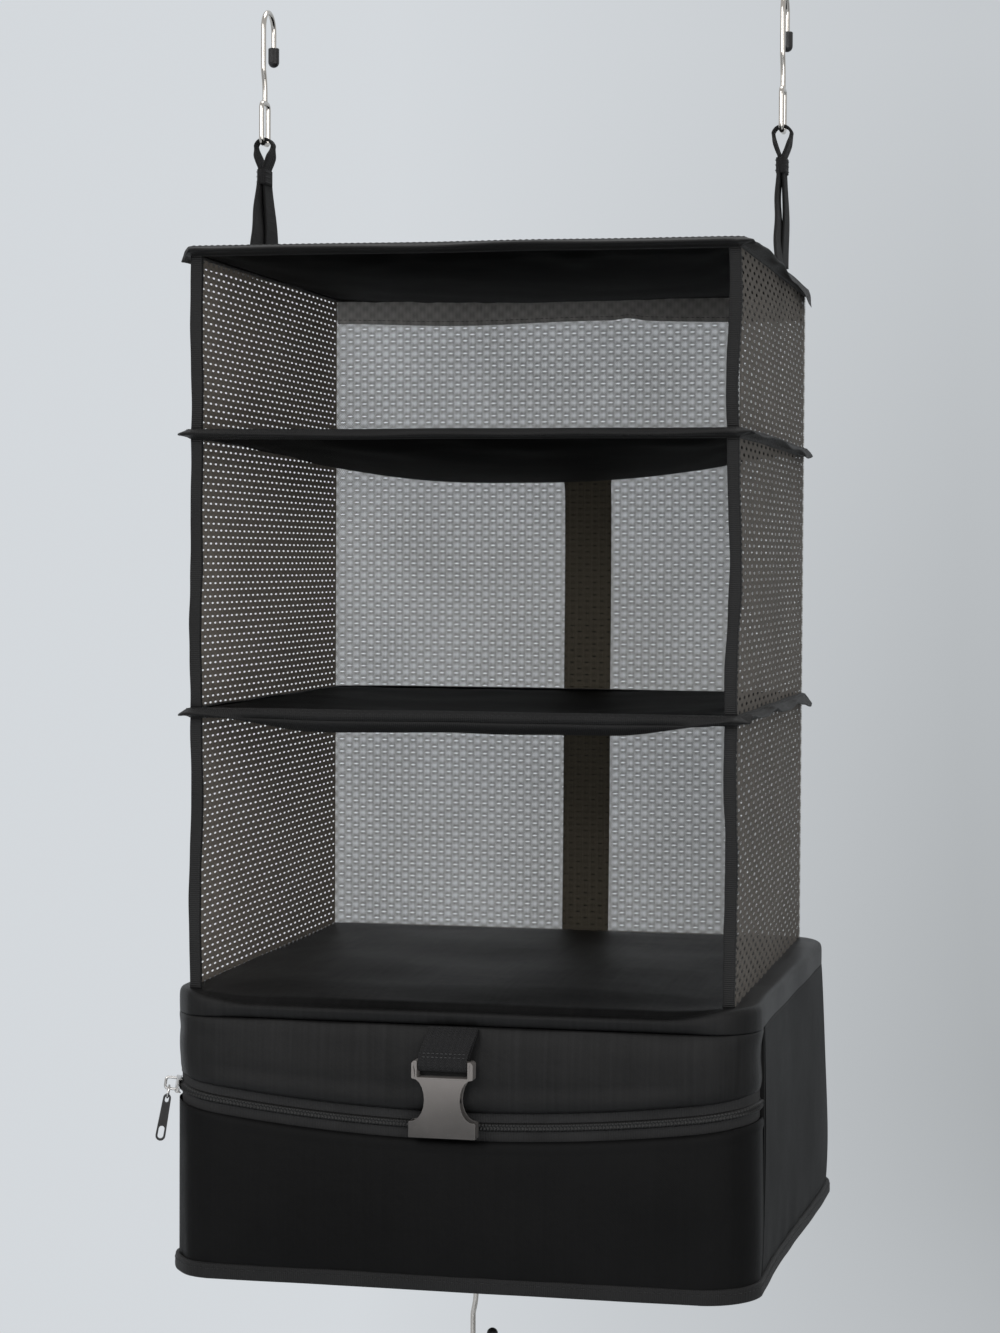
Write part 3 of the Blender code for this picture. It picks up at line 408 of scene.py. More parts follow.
def webbingFinish(name, look):
    # heavy webbing: broken diagonal ribs, rounder at both edges
    finish = Finish(name, Specular_IOR_Level=0.25, Sheen_Weight=0.03, Sheen_Roughness=0.4)
    u, v, _ = finish.along()
    slant = wave(u + abs(wave(v, look["herring"])) * look["herring"] * 0.3, look["rib"])
    cross = wave(v, look["yarn"])
    fuzz = finish.noise(420.0, 2.0)
    lift = slant * 0.6 + cross * 0.4 + fuzz * 0.3
    tone = (slant * cross * 0.5 + 0.5) * 0.6 + finish.noise(30.0) * 0.4
    return finish.coat(tone, look, 0.66 + fuzz * 0.18, finish.bump(lift, 0.00028, 0.9))


def plasticFinish(name, look):
    # moulded plastic: a fine even grain, cloudy gloss, paler worn edges, and painted light and shade: a tone that
    # falls from the light colour at the upper level to the dark one at the lower level
    finish = Finish(name, Specular_IOR_Level=look["gloss"])
    place = finish.place()
    grain = finish.noise(2600.0, 2.0, 0.5, place)
    cloudy = finish.noise(55.0, 3.0, 0.5, place)
    specks = finish.noise(900.0, 1.0, 0.5, place).ramp(0.7, 0.78)
    edge = finish.node("ShaderNodeNewGeometry", output="Pointiness").ramp(0.52, 0.6)
    worn = edge * finish.noise(300.0, 3.0, 0.6, place)
    low, high = look["levels"]
    # painted light and shade: paler at the upper level, darker at the lower level
    height = finish.parts(place)[2].ramp(low, high)
    tone = finish.blend(height * 0.7 + cloudy * 0.3, look["dark"], look["light"])
    tones = {"dark": finish.blend(worn * 0.5, tone, look["worn"]), "light": look["worn"]}
    rough = look["roughness"] + (cloudy - 0.5) * 0.16 - edge * 0.08
    return finish.coat(specks * 0.25, tones, rough, finish.bump(grain, 0.00006, 0.5))


def metalFinish(name, look):
    # plated wire: drawn lines, tiny dull pits and a slightly warm tone
    finish = Finish(name, Metallic=1.0)
    place = finish.place()
    x, y, z = finish.parts(place)
    lines = finish.node("ShaderNodeCombineXYZ", {}, {0: x * 900.0, 1: y * 900.0, 2: z * 60.0})
    drawn = finish.noise(1.0, 3.0, 0.6, lines)
    dull = finish.noise(120.0, 4.0, 0.6, place)
    rough = look["roughness"] + (dull - 0.5) * 0.14 + (drawn - 0.5) * 0.08
    return finish.coat(dull, look, rough, finish.bump(drawn, 0.00004, 0.35))


def boardFinish(name, look):
    # grey pressed board inside the panels
    finish = Finish(name)
    fibre = finish.noise(240.0, 6.0, 0.7)
    return finish.coat(fibre, look, look["roughness"], finish.bump(fibre, 0.0003, 0.5))


def lookLike(base, dark, light, **changes):
    return {**base, "dark": dark, "light": light, **changes}


nylonLook = {"thread": 0.0008, "streak": 0.15, "cloud": 11.0, "crumple": 0.4, "weave": 0.5,
             "roughness": 0.54, "gloss": 0.09}
tapeLook = {"rib": 0.0011, "gloss": 0.2, "rubbed": 0.0}
plasticLook = {"worn": (0.05, 0.05, 0.05), "gloss": 0.4}
finishes = {
    "nylon": nylonFinish("blackNylon", lookLike(
        nylonLook, (0.0028, 0.0028, 0.0029), (0.0076, 0.0076, 0.0078))),
    # the ribbed nylon's strong upright streaks are mostly painted sheen
    "ribbedNylon": nylonFinish("ribbedNylon", lookLike(
        nylonLook, (0.0043, 0.0043, 0.0044), (0.013, 0.013, 0.0133), streak=0.55, roughness=0.46, gloss=0.18)),
    "lining": nylonFinish("liningCloth", lookLike(
        nylonLook, (0.0016, 0.0016, 0.0016), (0.004, 0.004, 0.0041), roughness=0.62, gloss=0.05)),
    # one net cloth in four colours: the differences are painted light and shade, the left wall and the hem band
    # painted paler for light they lack, the right wall painted darker as shaded
    "backMesh": meshFinish("backNet", lookLike(
        {"cells": 0.25, "closed": 0.12, "clear": 0.96}, (0.1, 0.088, 0.066), (0.22, 0.194, 0.146))),
    "leftMesh": meshFinish("leftNet", lookLike(
        {"cells": 0.18, "closed": 0.54, "clear": 0.9}, (0.145, 0.126, 0.108), (0.356, 0.314, 0.27))),
    "rightMesh": meshFinish("rightNet", lookLike(
        {"cells": 0.34, "closed": 1.02, "clear": 0.9}, (0.04, 0.036, 0.031), (0.15, 0.134, 0.116))),
    "bandMesh": meshFinish("doubledNet", lookLike(
        {"cells": 0.25, "closed": 0.86, "clear": 0.3}, (0.29, 0.286, 0.28), (0.62, 0.612, 0.6))),
    "tape": tapeFinish("bindingTape", lookLike(
        tapeLook, (0.005, 0.005, 0.0052), (0.016, 0.016, 0.0164), roughness=0.52, gloss=0.25)),
    # flange tape: painted light on faces turned up, its dark colour as painted shade on faces turned down
    "flangeTape": tapeFinish("flangeTape", lookLike(
        tapeLook, (0.0022, 0.0022, 0.0023), (0.02, 0.02, 0.0205), roughness=0.55, rubbed=0.75)),
    "hemTape": tapeFinish("hemTape", lookLike(
        tapeLook, (0.006, 0.006, 0.0062), (0.016, 0.016, 0.0165), roughness=0.58)),
    "zipTape": tapeFinish("zipTape", lookLike(
        tapeLook, (0.012, 0.012, 0.0124), (0.033, 0.033, 0.0338), rib=0.0009, roughness=0.7)),
    "darkThread": tapeFinish("blackThread", lookLike(
        tapeLook, (0.01, 0.01, 0.01), (0.03, 0.03, 0.031), rib=0.0005, roughness=0.5, gloss=0.35)),
    "thread": tapeFinish("sewingThread", lookLike(
        tapeLook, (0.03, 0.03, 0.031), (0.085, 0.085, 0.088), rib=0.0005, roughness=0.55, gloss=0.3)),
    "webbing": webbingFinish("blackWebbing", lookLike(
        {"rib": 0.0016, "yarn": 0.0011, "herring": 0.0068}, (0.0045, 0.0045, 0.0048), (0.022, 0.022, 0.023))),
    # buckle, vinyl and coil: their tones fall from light above to dark below as painted light and shade
    "buckle": plasticFinish("buckleNylon", lookLike(
        plasticLook, (0.02, 0.019, 0.018), (0.215, 0.199, 0.19),
        worn=(0.24, 0.23, 0.22), roughness=0.42, levels=(-0.626, -0.592))),
    "vinyl": plasticFinish("blackVinyl", lookLike(
        plasticLook, (0.008, 0.008, 0.008), (0.014, 0.014, 0.015), roughness=0.34, levels=(-0.8, 0.0))),
    "coil": plasticFinish("zipCoil", lookLike(
        plasticLook, (0.005, 0.005, 0.005), (0.012, 0.012, 0.012),
        roughness=0.4, gloss=0.3, levels=(-0.8, -0.4))),
    "nickel": metalFinish("platedWire", lookLike({"roughness": 0.17}, (0.58, 0.55, 0.51), (0.72, 0.69, 0.65))),
    "zinc": metalFinish("castZinc", lookLike({"roughness": 0.26}, (0.5, 0.49, 0.48), (0.68, 0.67, 0.66))),
    "board": boardFinish("pressedBoard", lookLike({"roughness": 0.8}, (0.2, 0.19, 0.17), (0.42, 0.4, 0.36))),
}
print("finishes ready:", len(finishes))


# Outlines in plan: the four sides of a square, each with its start, its end and its way out

squareSides = [((1, -1), (1, 1), (1, 0)), ((1, 1), (-1, 1), (0, 1)),
               ((-1, 1), (-1, -1), (-1, 0)), ((-1, -1), (1, -1), (0, -1))]


def straightStops(start, end, way, count, last=False):
    # even stops from start to end, the end itself only where it's asked for
    line = np.linspace(start, end, count + last, endpoint=last)
    return line, np.tile(way, (len(line), 1))


def cornerStops(index, count):
    # one corner of the square for every stop, and ways out that turn by a quarter
    angle = np.radians(90.0 * index + np.linspace(0.0, 90.0, count, endpoint=False))
    return np.tile(squareSides[index][1], (count, 1)), np.stack([np.cos(angle), np.sin(angle)], axis=1)


def squareStations(perSide, perCorner):
    # stops round a rounded square: the corner square's place and the way out, for each stop
    runs = []
    for index, side in enumerate(squareSides):
        runs += [straightStops(*side, perSide), cornerStops(index, perCorner)]
    return [np.vstack(part) for part in zip(*runs)]


def faceStations(index, level, spans, corner, side):
    # stops from the seam in one flank, round one face of the square, to the seam in the other
    before, face, after = (squareSides[k % 4] for k in (index - 1, index, index + 1))
    flank = before[1]
    other = after[0]
    runs = [straightStops((flank[0], level), flank, before[2], side), cornerStops(index - 1, corner),
            straightStops(*face, spans), cornerStops(index, corner),
            straightStops(other, (other[0], level), after[2], side, last=True)]
    return [np.vstack(part) for part in zip(*runs)]


def frontStations(spans=150, corner=14, side=20):
    reach = size["baseHalf"] - size["baseCorner"]
    return faceStations(3, size["seamY"] / reach, spans, corner, side)


def backStations():
    reach = size["baseHalf"] - size["baseCorner"]
    return faceStations(1, (size["seamY"] + size["seamWidth"]) / reach, 120, 14, 70)


def outlineAt(stops, ways, half, radius):
    # the outline's points in plan for one half size and corner radius
    return stops * (half - radius) + ways * radius


def baseOutline(stations, out):
    # the base's plan, moved out by that much
    return outlineAt(*stations, size["baseHalf"] + out, size["baseCorner"] + out)


def baseWarp(points):
    # the base leans out to the right towards its back, as a loaded bag does
    x, y, z = np.moveaxis(points, -1, 0)
    low = 0.45 + 0.55 * smoothStep(size["lidLevel"], size["floorLevel"], z)
    shift = size["baseLean"] * smoothStep(0.09, 0.165, x) * smoothStep(-0.1, 0.14, y) * low
    return joined(x + shift, y, z)


# Top panel and shelves: a pad of two cloths over a board

padLook = {"rim": 0.1485, "held": 0.0045, "thick": 0.0029, "pinched": 0.002, "cells": 88,
           "puckers": 0.0006, "waves": 0.0009}


def shelfPad(shelf):
    # top and underside z = level +- thickness - sag (1 - x^2)(1 - y^2), with puckers at the rim
    rim, seed = padLook["rim"], shelf["seed"]
    line = np.linspace(-1.0, 1.0, padLook["cells"] + 1)
    line = np.sign(line) * np.abs(line) ** 0.85
    x, y = np.meshgrid(line, line, indexing="ij")
    inside = (size["half"] - padLook["held"]) / rim
    bowl = (1 - np.clip(x / inside, -1, 1) ** 2) * (1 - np.clip(y / inside, -1, 1) ** 2)
    near = np.maximum(np.abs(x), np.abs(y))
    edge = smoothStep(1.0, 0.93, near)
    full = np.sqrt(np.clip(1 - smoothStep(0.972, 1.0, near) ** 2, 0, 1))
    pinch = padLook["thick"] - (padLook["thick"] - padLook["pinched"]) * smoothStep(0.86, 0.965, near)
    pucker = ripple(x * rim, y * rim, seed, 0.04) * smoothStep(0.55, 0.93, near) * edge
    gentle = ripple(x * rim, y * rim, seed + 1, 0.11) * bowl ** 0.5
    uneven = edge * (padLook["puckers"] * pucker + padLook["waves"] * gentle)
    parts = []
    for side, low, rough in ((1, 0.0, 1.0), (-1, shelf["droop"], 1.5)):
        z = size[shelf["level"]] + side * pinch * full - shelf["sag"] * bowl - low * bowl ** 0.7 + uneven * rough
        parts.append(gridPart(joined(x * rim, y * rim, z), line * rim, line * rim))
    node = shelf["node"]
    pad = makePiece(f"{node}Pad", "lining", parts, shelf["body"], "nylon", f"{node}_cloth", f"{node}_lining")


bindingLook = {"reach": 0.008, "half": 0.0028, "tip": 0.0011, "lap": 0.0045, "mouth": 0.0021, "round": 0.0016}


def bindingProfile():
    # the folded tape in section: its top slopes out to the flange's tip, its underside cuts in
    reach, half, tip, lap, mouth = (bindingLook[key] for key in ("reach", "half", "tip", "lap", "mouth"))
    corners = [(reach, -tip), (reach, tip * 0.7), (reach * 0.55, tip * 1.45), (0.001, half),
               (-lap, half), (-lap, mouth), (-0.0011, mouth), (-0.0011, -mouth),
               (-lap, -mouth), (-lap, -half), (0.0002, -half), (0.0014, -tip * 1.7),
               (reach * 0.5, -tip * 1.2)]
    return roundCorners(corners, 2, ring=True)


def boundEdge(shelf):
    # the profile carried round the shelf; the flange hangs by a power of its reach, more where
    # it has nothing to stiffen it, and wanders up and down as cut cloth does; returns the line
    # to sew on
    profile = bindingProfile()
    reach = bindingLook["reach"]
    seed, wavy = shelf["seed"] + 40, shelf["wavy"]
    stops, ways = squareStations(90, 9)
    middle = outlineAt(stops, ways, size["half"], bindingLook["round"])
    run = lengthsAlong(closed(middle))
    along = run[:-1]
    x, y = middle.T
    left, right, front = np.clip([-ways[:, 0], ways[:, 0], -ways[:, 1]], 0, 1)
    corner = smoothStep(0.93, 1.0, np.abs(stops).min(axis=1))
    hang = shelf["frontHang"] * front * smoothStep(0.148, 0.085, np.abs(x))
    hang = hang + shelf["leftHang"] * left * smoothStep(0.03, -0.13, y)
    hang = hang + shelf["rightHang"] * right * smoothStep(-0.08, 0.15, y)
    wander = ripple(along, 0, seed, 0.095) * wavy * (1.0 - 0.5 * front)
    flutter = ripple(along, 0, seed + 5, 0.062) * wavy * (0.3 + 0.5 * left + 1.2 * right)
    curl = ripple(along, 0, seed + 7, 0.02) * 0.0009 * corner * (1.0 - right)
    trimming = ripple(along, 0, seed + 9, 0.07) * 0.1
    bent = np.clip(hang / reach, 0, 1)
    loops = []
    for out, height in profile:
        share = max(out, 0.0) / reach
        flange = smoothStep(0.0012, reach, out)
        shorter = 1.0 - 0.42 * bent - 0.12 * corner + trimming - 0.95 * bent * front * share
        plan = outlineAt(stops, ways, size["half"] + out, max(bindingLook["round"] + out, 0.0003))
        plan = plan + ways * (out * flange * (shorter - 1.0))[:, None]
        thin = 1.0 - 0.3 * (left + right) * flange
        lift = height * thin + wander * (0.35 + 0.65 * flange) + (flutter + curl) * flange
        loops.append(np.column_stack([plan, size[shelf["level"]] + lift - hang * share ** 1.4]))
    loops = np.stack(loops, axis=1)
    node = shelf["node"]
    makePiece(f"{node}Binding", "flangeTape", [bandPart(loops, run)], shelf["body"], "tape", f"{node}_binding")
    seam = int(np.argmin(np.abs(profile[:, 0] - 0.0018) + (profile[:, 1] < 0)))
    return closed(loops[:, seam])


shelves = [
    {"node": "top_panel", "body": "top", "level": "topLevel", "sag": 0.008, "droop": 0.0022, "seed": 3,
     "wavy": 0.001, "frontHang": 0.0, "leftHang": 0.005, "rightHang": 0.0076},
    {"node": "upper_shelf", "body": "upper_shelf", "level": "upperLevel", "sag": 0.014, "droop": 0.0064,
     "seed": 14, "wavy": 0.0011, "frontHang": 0.0006, "leftHang": 0.0006, "rightHang": 0.003},
    {"node": "lower_shelf", "body": "lower_shelf", "level": "lowerLevel", "sag": 0.007, "droop": 0.005,
     "seed": 27, "wavy": 0.0012, "frontHang": 0.0088, "leftHang": 0.001, "rightHang": 0.0024},
]
for shelf in shelves:
    shelfPad(shelf)
    shelf["sewn"] = boundEdge(shelf)
print("shelves ready")


# Mesh walls with real holes

netLook = {"thick": 0.00012, "tuck": 0.0022}
netKinds = {
    "left": {"bulge": 0.0004, "pitch": 0.0093, "row": 0.0037, "hole": (0.0044, 0.0012)},
    "right": {"bulge": 0.0004, "pitch": 0.0186, "row": 0.0037, "hole": (0.0076, 0.0019)},
    "back": {"bulge": 0.0005, "pitch": 0.0093, "row": 0.0039, "hole": (0.0029, 0.0008)},
}


def netParts(width, height, pitch, row, hole, place):
    # brick rows of cells, each an oval hole in a rectangle; place() bends the flat net into its
    # wall, and the UV map counts cells along and up
    columns = int(round(width / pitch))
    rows = int(round(height / row))
    cell = np.array([width / columns, height / rows])
    across = 2 * columns + 1
    r, c = np.meshgrid(np.arange(rows), np.arange(columns), indexing="ij")
    middle = 2 * c + 1 + (r % 2)
    keep = middle < 2 * columns
    i = middle[keep]
    j = (2 * r + 1)[keep]
    ring = [(1, 0), (1, 1), (0, 1), (-1, 1), (-1, 0), (-1, -1), (0, -1), (1, -1)]
    rim = np.stack([(j + dj) * across + (i + di) for di, dj in ring], axis=1)
    gridU, gridV = np.meshgrid(np.arange(across) / 2, np.arange(2 * rows + 1) / 2)
    flatGrid = np.stack([gridU.ravel(), gridV.ravel()], axis=1) * cell
    angle = np.radians([0, 38, 90, 142, 180, 218, 270, 322])
    oval = np.stack([np.cos(angle), np.sin(angle)], axis=1) * np.array(hole) / 2
    centres = np.stack([i, j], axis=1) * cell / 2
    flatHoles = (centres[:, None] + oval[None]).reshape(-1, 2)
    holes = len(flatGrid) + np.arange(len(i))[:, None] * 8 + np.arange(8)[None]
    after = np.roll(np.arange(8), -1)
    around = np.stack([rim, rim[:, after], holes[:, after], holes], axis=-1).reshape(-1, 4)
    odd = np.arange(1, rows, 2)
    ends = []
    for start in (0, 2 * columns - 1):
        for half in (0, 1):
            low = (2 * odd + half) * across + start
            ends.append(np.stack([low, low + 1, low + across + 1, low + across], axis=1))
    sheet = np.vstack([around] + ends)
    flat = np.vstack([flatGrid, flatHoles])
    count = len(flat)
    u, v = flat.T
    front = place(u, v, netLook["thick"] / 2)
    back = place(u, v, -netLook["thick"] / 2)
    walls = np.stack([holes, holes[:, after], holes[:, after] + count, holes + count], axis=-1).reshape(-1, 4)
    bottom = np.arange(across - 1)
    top = bottom + 2 * rows * across
    left = np.arange(2 * rows) * across
    right = left + across - 1
    edges = []
    for low, step in ((bottom, 1), (top, 1), (left, across), (right, across)):
        edges.append(np.stack([low, low + step, low + step + count, low + count], axis=1))
    faces = np.vstack([sheet, sheet[:, ::-1] + count, walls] + edges)
    used, faces = np.unique(faces, return_inverse=True)
    faces = faces.reshape(-1, 4)
    points = np.vstack([front, back])[used]
    uv = (np.vstack([flat, flat]) / cell)[used][faces]
    return [(points, faces, uv)]


def wallPlace(kind, low, bulge, seed, width, height):
    # a flat wall with a belly that dies out at its sewn edges
    def place(u, v, out):
        across, up = np.clip(u / width, 0, 1), np.clip(v / height, 0, 1)
        held = np.sin(math.pi * across) ** 0.6 * np.sin(math.pi * up) ** 0.6
        belly = held * (bulge + 0.0007 * ripple(u, v, seed, 0.09))
        if kind == "back":
            return joined(low[0] + u, low[1] + belly + out, low[2] + v)
        sign = -1.0 if kind == "left" else 1.0
        return joined(low[0] + sign * (belly + out), low[1] + u, low[2] + v)
    return place


tiers = {
    "top_tier": {"rides": "top", "joint": "top_tier_fold", "anchor": -0.1586, "keep": 0.0839, "seed": 60,
                 "held": ["top_panel_binding", "upper_shelf_binding"]},
    "middle_tier": {"rides": "upper_shelf", "joint": "middle_tier_fold", "anchor": -0.2576, "keep": 0.0813,
                    "seed": 70, "held": ["upper_shelf_binding", "lower_shelf_binding"]},
    "lower_tier": {"rides": "lower_shelf", "joint": "lower_tier_fold", "anchor": -0.4086, "keep": 0.107,
                   "seed": 80, "held": ["lower_shelf_binding", "base_lid_cover"]},
}
edgeLook = {"swayX": 0.0013, "swayY": 0.0008, "slim": 0.94, "uneven": 0.07}
tapeRows = []  # rows of stitches that the tapes and the hem ask for


def meshWall(tierName, tier, kind):
    # one wall of a tier, as wide and high as the frame's, and tucked into the seams above and below
    node = f"{tierName}_{kind}_mesh"
    net = netKinds[kind]
    low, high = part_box(node)
    width = high.x - low.x if kind == "back" else high.y - low.y
    height = high.z - low.z + 2 * netLook["tuck"]
    start = [low.x, low.y, low.z - netLook["tuck"]]
    if kind == "back":
        start[1] = (low.y + high.y) / 2
    else:
        start[0] = (low.x + high.x) / 2
    place = wallPlace(kind, start, net["bulge"], tier["seed"], width, height)
    parts = netParts(width, height, net["pitch"], net["row"], net["hole"], place)
    wall = makePiece(f"{tierName}_{kind}Net", f"{kind}Mesh", parts, tier, "mesh", node, weld=0)
    sharpen(wall, 40)


def edgeTape(tierName, tier, kind):
    # a folded tape down the wall's front edge, its section a soft oblong, a little wavy, with a
    # row of stitches down its face
    name, node = f"{tierName}_{kind}Edge", f"{tierName}_{kind}_edge_tape"
    seed = tier["seed"] + 5 + len(kind)
    low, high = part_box(node)
    middleX, middleY = (low.x + high.x) / 2, (low.y + high.y) / 2
    halfX, halfY = (high.x - low.x) / 2, (high.y - low.y) / 2
    front = [(-halfX, -halfY * 0.8), (-halfX * 0.7, -halfY), (halfX * 0.7, -halfY), (halfX, -halfY * 0.8)]
    section = roundCorners(front + [(-px, -py) for px, py in front], 1, ring=True)
    z = np.linspace(low.z - netLook["tuck"] * 0.8, high.z + netLook["tuck"] * 0.8, 60)
    held = np.sin(math.pi * (z - z[0]) / (z[-1] - z[0])) ** 0.7
    swayX = middleX + edgeLook["swayX"] * ripple(z, 0, seed, 0.1) * held
    swayY = middleY + edgeLook["swayY"] * ripple(z, 0, seed + 1, 0.08) * held
    slim = edgeLook["slim"] - edgeLook["uneven"] * ripple(z, 0, seed + 2, 0.03)
    loops = joined(swayX[:, None] + section[:, 0] * slim[:, None], swayY[:, None] + section[:, 1], z[:, None])
    makePiece(name, "tape", sweepPart(loops, z - z[0]), tier, "tape", node)
    outward = -1.0 if kind == "left" else 1.0
    face = joined(swayX + outward * halfX * slim, swayY + halfY * 0.45, z)
    tapeRows.append((f"{name}Stitches", [(face[2:-2], (outward, 0, 0))], tier))


for tierName, tier in tiers.items():
    for kind in netKinds:
        meshWall(tierName, tier, kind)
    for kind in ("left", "right"):
        edgeTape(tierName, tier, kind)
print("mesh tiers ready")


# Doubled hem of the back net, under the top panel

bandLook = {"wave": 0.0022, "thick": 0.0009, "pleat": 0.04, "pleatWidth": 0.007, "pleatDepth": 0.0016,
            "swell": 0.0016, "over": 0.0028, "rows": 14, "seamRow": 11}


def backBand():
    # a doubled net strip: z = top - share x (height + dip), its face swelling by a sine, with a
    # pleat where the cloth was taken up; its foot is a rounded fold
    low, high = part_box("top_back_band")
    x = np.linspace(low.x, high.x, 220)
    pleat = np.exp(-((x - bandLook["pleat"]) / bandLook["pleatWidth"]) ** 2)
    dip = bandLook["wave"] * (ripple(x, 0, 91, 0.16) - 0.3) - bandLook["pleatDepth"] * pleat
    halfY = bandLook["thick"] / 2
    middle = (low.y + high.y) / 2
    share = np.linspace(0, 1, bandLook["rows"])
    belly = np.sin(share * math.pi * 0.9)
    top = high.z + bandLook["over"]
    frontZ = top - share * (top - low.z + dip[:, None])
    fullness = 1 + 0.5 * ripple(x, 0, 92, 0.06)[:, None] - 0.9 * pleat[:, None]
    frontY = middle - halfY - bandLook["swell"] * belly * fullness
    backY = np.full_like(frontY, middle + halfY)
    loops = joined(x[:, None], np.hstack([frontY, backY]), np.hstack([frontZ, frontZ[:, ::-1]]))
    cell = np.array([netKinds["back"]["pitch"], netKinds["back"]["row"]])
    parts = [(points, faces, uv / cell) for points, faces, uv in sweepPart(loops, x - x[0])]
    band = makePiece("topBackHem", "bandMesh", parts, tiers["top_tier"], "nylon", "top_back_band")
    seam = bandLook["seamRow"]
    sewn = joined(x, frontY[:, seam] - 0.0001, frontZ[:, seam])
    tapeRows.append(("topBackHemStitches", [(sewn, (0, -1, 0))], tiers["top_tier"]))


backBand()


# Base compartment

zipLine = {"end": -0.609, "smile": 0.0135, "mouth": 0.015, "tapeWidth": 0.0125}
baseLook = {"panel": 0.0022, "lidDepth": 0.0135, "lidEdge": 0.0055, "lidInset": 0.0012, "crown": 0.003,
            "lidDip": 0.0056, "lidCells": 110, "lidWaist": 0.55, "lidSlow": 0.0011, "lidQuick": 0.0005,
            "lidLowest": 62, "lidWander": 0.0005, "tuck": 0.0026, "flap": 0.002, "seamIn": 0.0008,
            "floor": 0.0011}


def zipHeight(x):
    # lowest at the middle of the front, level with its ends at both sides
    share = np.clip(1.0 - (x / size["baseHalf"]) ** 2, 0, None)
    return zipLine["end"] - zipLine["smile"] * share


def creaseAt(x, wayY):
    # how far the lid's seam is drawn in: 1 along the front, a quarter at the back, 0 at the sides
    front = np.clip(-wayY, 0, 1) * smoothStep(0.152, 0.118, np.abs(x - 0.004))
    return front + 0.25 * np.clip(wayY, 0, 1)


def tuckAt(x):
    # how far the left flank is drawn in, from 0 in front of it to the whole tuck
    return baseLook["tuck"] * smoothStep(-0.145, -0.157, x)


wallTop = size["lidLevel"] - baseLook["lidDepth"] - size["gap"]
wallFoot = size["floorLevel"] + baseLook["floor"] + size["gap"]


def clothWall(name, node, look):
    # a standing panel: plan + way out x swell, drawn in by a tenth-power curve at its two edges
    # wherever these are seams, flush with the lid elsewhere, and with a plain back
    ways, inset = look["stations"][1], look["inset"]
    plan = baseOutline(look["stations"], -inset)
    run = lengthsAlong(plan)
    low, high = (np.broadcast_to(edge(plan[:, 0]), run.shape)[:, None] for edge in look["edges"])
    share = np.linspace(0.0, 1.0, look["rows"])
    crease = creaseAt(plan[:, 0], ways[:, 1])[:, None]
    fold = np.sqrt(np.clip(1 - (2 * share - 1) ** 10, 0, 1))
    fold = 1.0 - (1.0 - fold) * np.where(share > 0.5, crease, 1.0)
    out = look["swell"](run[:, None], share, plan[:, :1], ways[:, 1:]) * fold - baseLook["seamIn"] * (1 - fold)
    out = out + inset * (1 - crease) * smoothStep(0.7, 1.0, share)
    tucked = tuckAt(plan[:, :1]) * (0.4 + 0.6 * smoothStep(-0.06, -0.13, plan[:, 1:]))
    outer = joined(plan[:, :1] + ways[:, :1] * out + tucked, plan[:, 1:] + ways[:, 1:] * out,
                   low + (high - low) * share)
    behind = plan - ways * baseLook["panel"]
    inner = joined(behind[:, :1], behind[:, 1:], low + (high - low) * np.linspace(1.0, 0.0, 8))
    loops = baseWarp(np.concatenate([outer, inner], axis=1))
    piece = makePiece(name, look["finish"], sweepPart(loops, run), "base", "nylon", node)


swellLook = {
    "thin": 0.0006, "upperBelly": 0.0022, "upperDrag": 0.0008, "upperSmall": 0.0004,
    "lowerBelly": 0.0024, "raised": 0.0007, "lowerDrag": 0.0009, "lowerCreases": 0.0004, "leftCalm": 0.25,
    "flankBelly": 0.0013, "backBelly": 0.0015, "sideDrag": 0.001, "sideCreases": 0.0005,
}


def upperSwell(run, share, x, wayY):
    # full just under the lid, its lower edge standing off the zip as a flap, with upright drags
    front = np.clip(-wayY, 0, 1)
    belly = (swellLook["thin"] + swellLook["upperBelly"] * front) * np.sin(math.pi * np.clip(share, 0, 1)) ** 0.7
    flap = baseLook["flap"] * front * smoothStep(0.146, 0.11, np.abs(x)) * smoothStep(0.34, 0.04, share)
    drag = ripple(run, 0, 101, 0.06) * np.sin(math.pi * share) ** 0.8
    small = ripple(run, share * 0.05, 102, 0.035)
    return belly + flap + swellLook["upperDrag"] * drag * front + swellLook["upperSmall"] * small


def lowerSwell(run, share, x, wayY):
    # one wide shallow belly, a raised top edge, slow drags and a few creases near the foot;
    # flatter at the left, where the pull hangs when the slider has come round the corner
    belly = (swellLook["thin"] + swellLook["lowerBelly"] * np.clip(-wayY, 0, 1)) * np.sin(math.pi * share) ** 0.8
    raised = swellLook["raised"] * np.exp(-((share - 0.965) / 0.022) ** 2)
    drag = swellLook["lowerDrag"] * ripple(run, share * 0.07, 111, 0.09) * np.sin(math.pi * share)
    foot = ripple(run, 0, 112, 0.028) * smoothStep(0.35, 0.02, share)
    calm = swellLook["leftCalm"] + (1 - swellLook["leftCalm"]) * smoothStep(-0.15, -0.085, x)
    return calm * (belly + raised + drag) + swellLook["lowerCreases"] * foot


def sideSwell(run, share, x, wayY):
    # nearly flat on the flanks, a little fuller at the back
    belly = swellLook["flankBelly"] + swellLook["backBelly"] * np.clip(wayY, 0, 1)
    drag = swellLook["sideDrag"] * ripple(run, share * 0.13, 121, 0.11) * np.sin(math.pi * share)
    foot = ripple(run, 0, 122, 0.04) * smoothStep(0.3, 0.02, share)
    return belly * np.sin(math.pi * share) ** 0.8 + drag + swellLook["sideCreases"] * foot


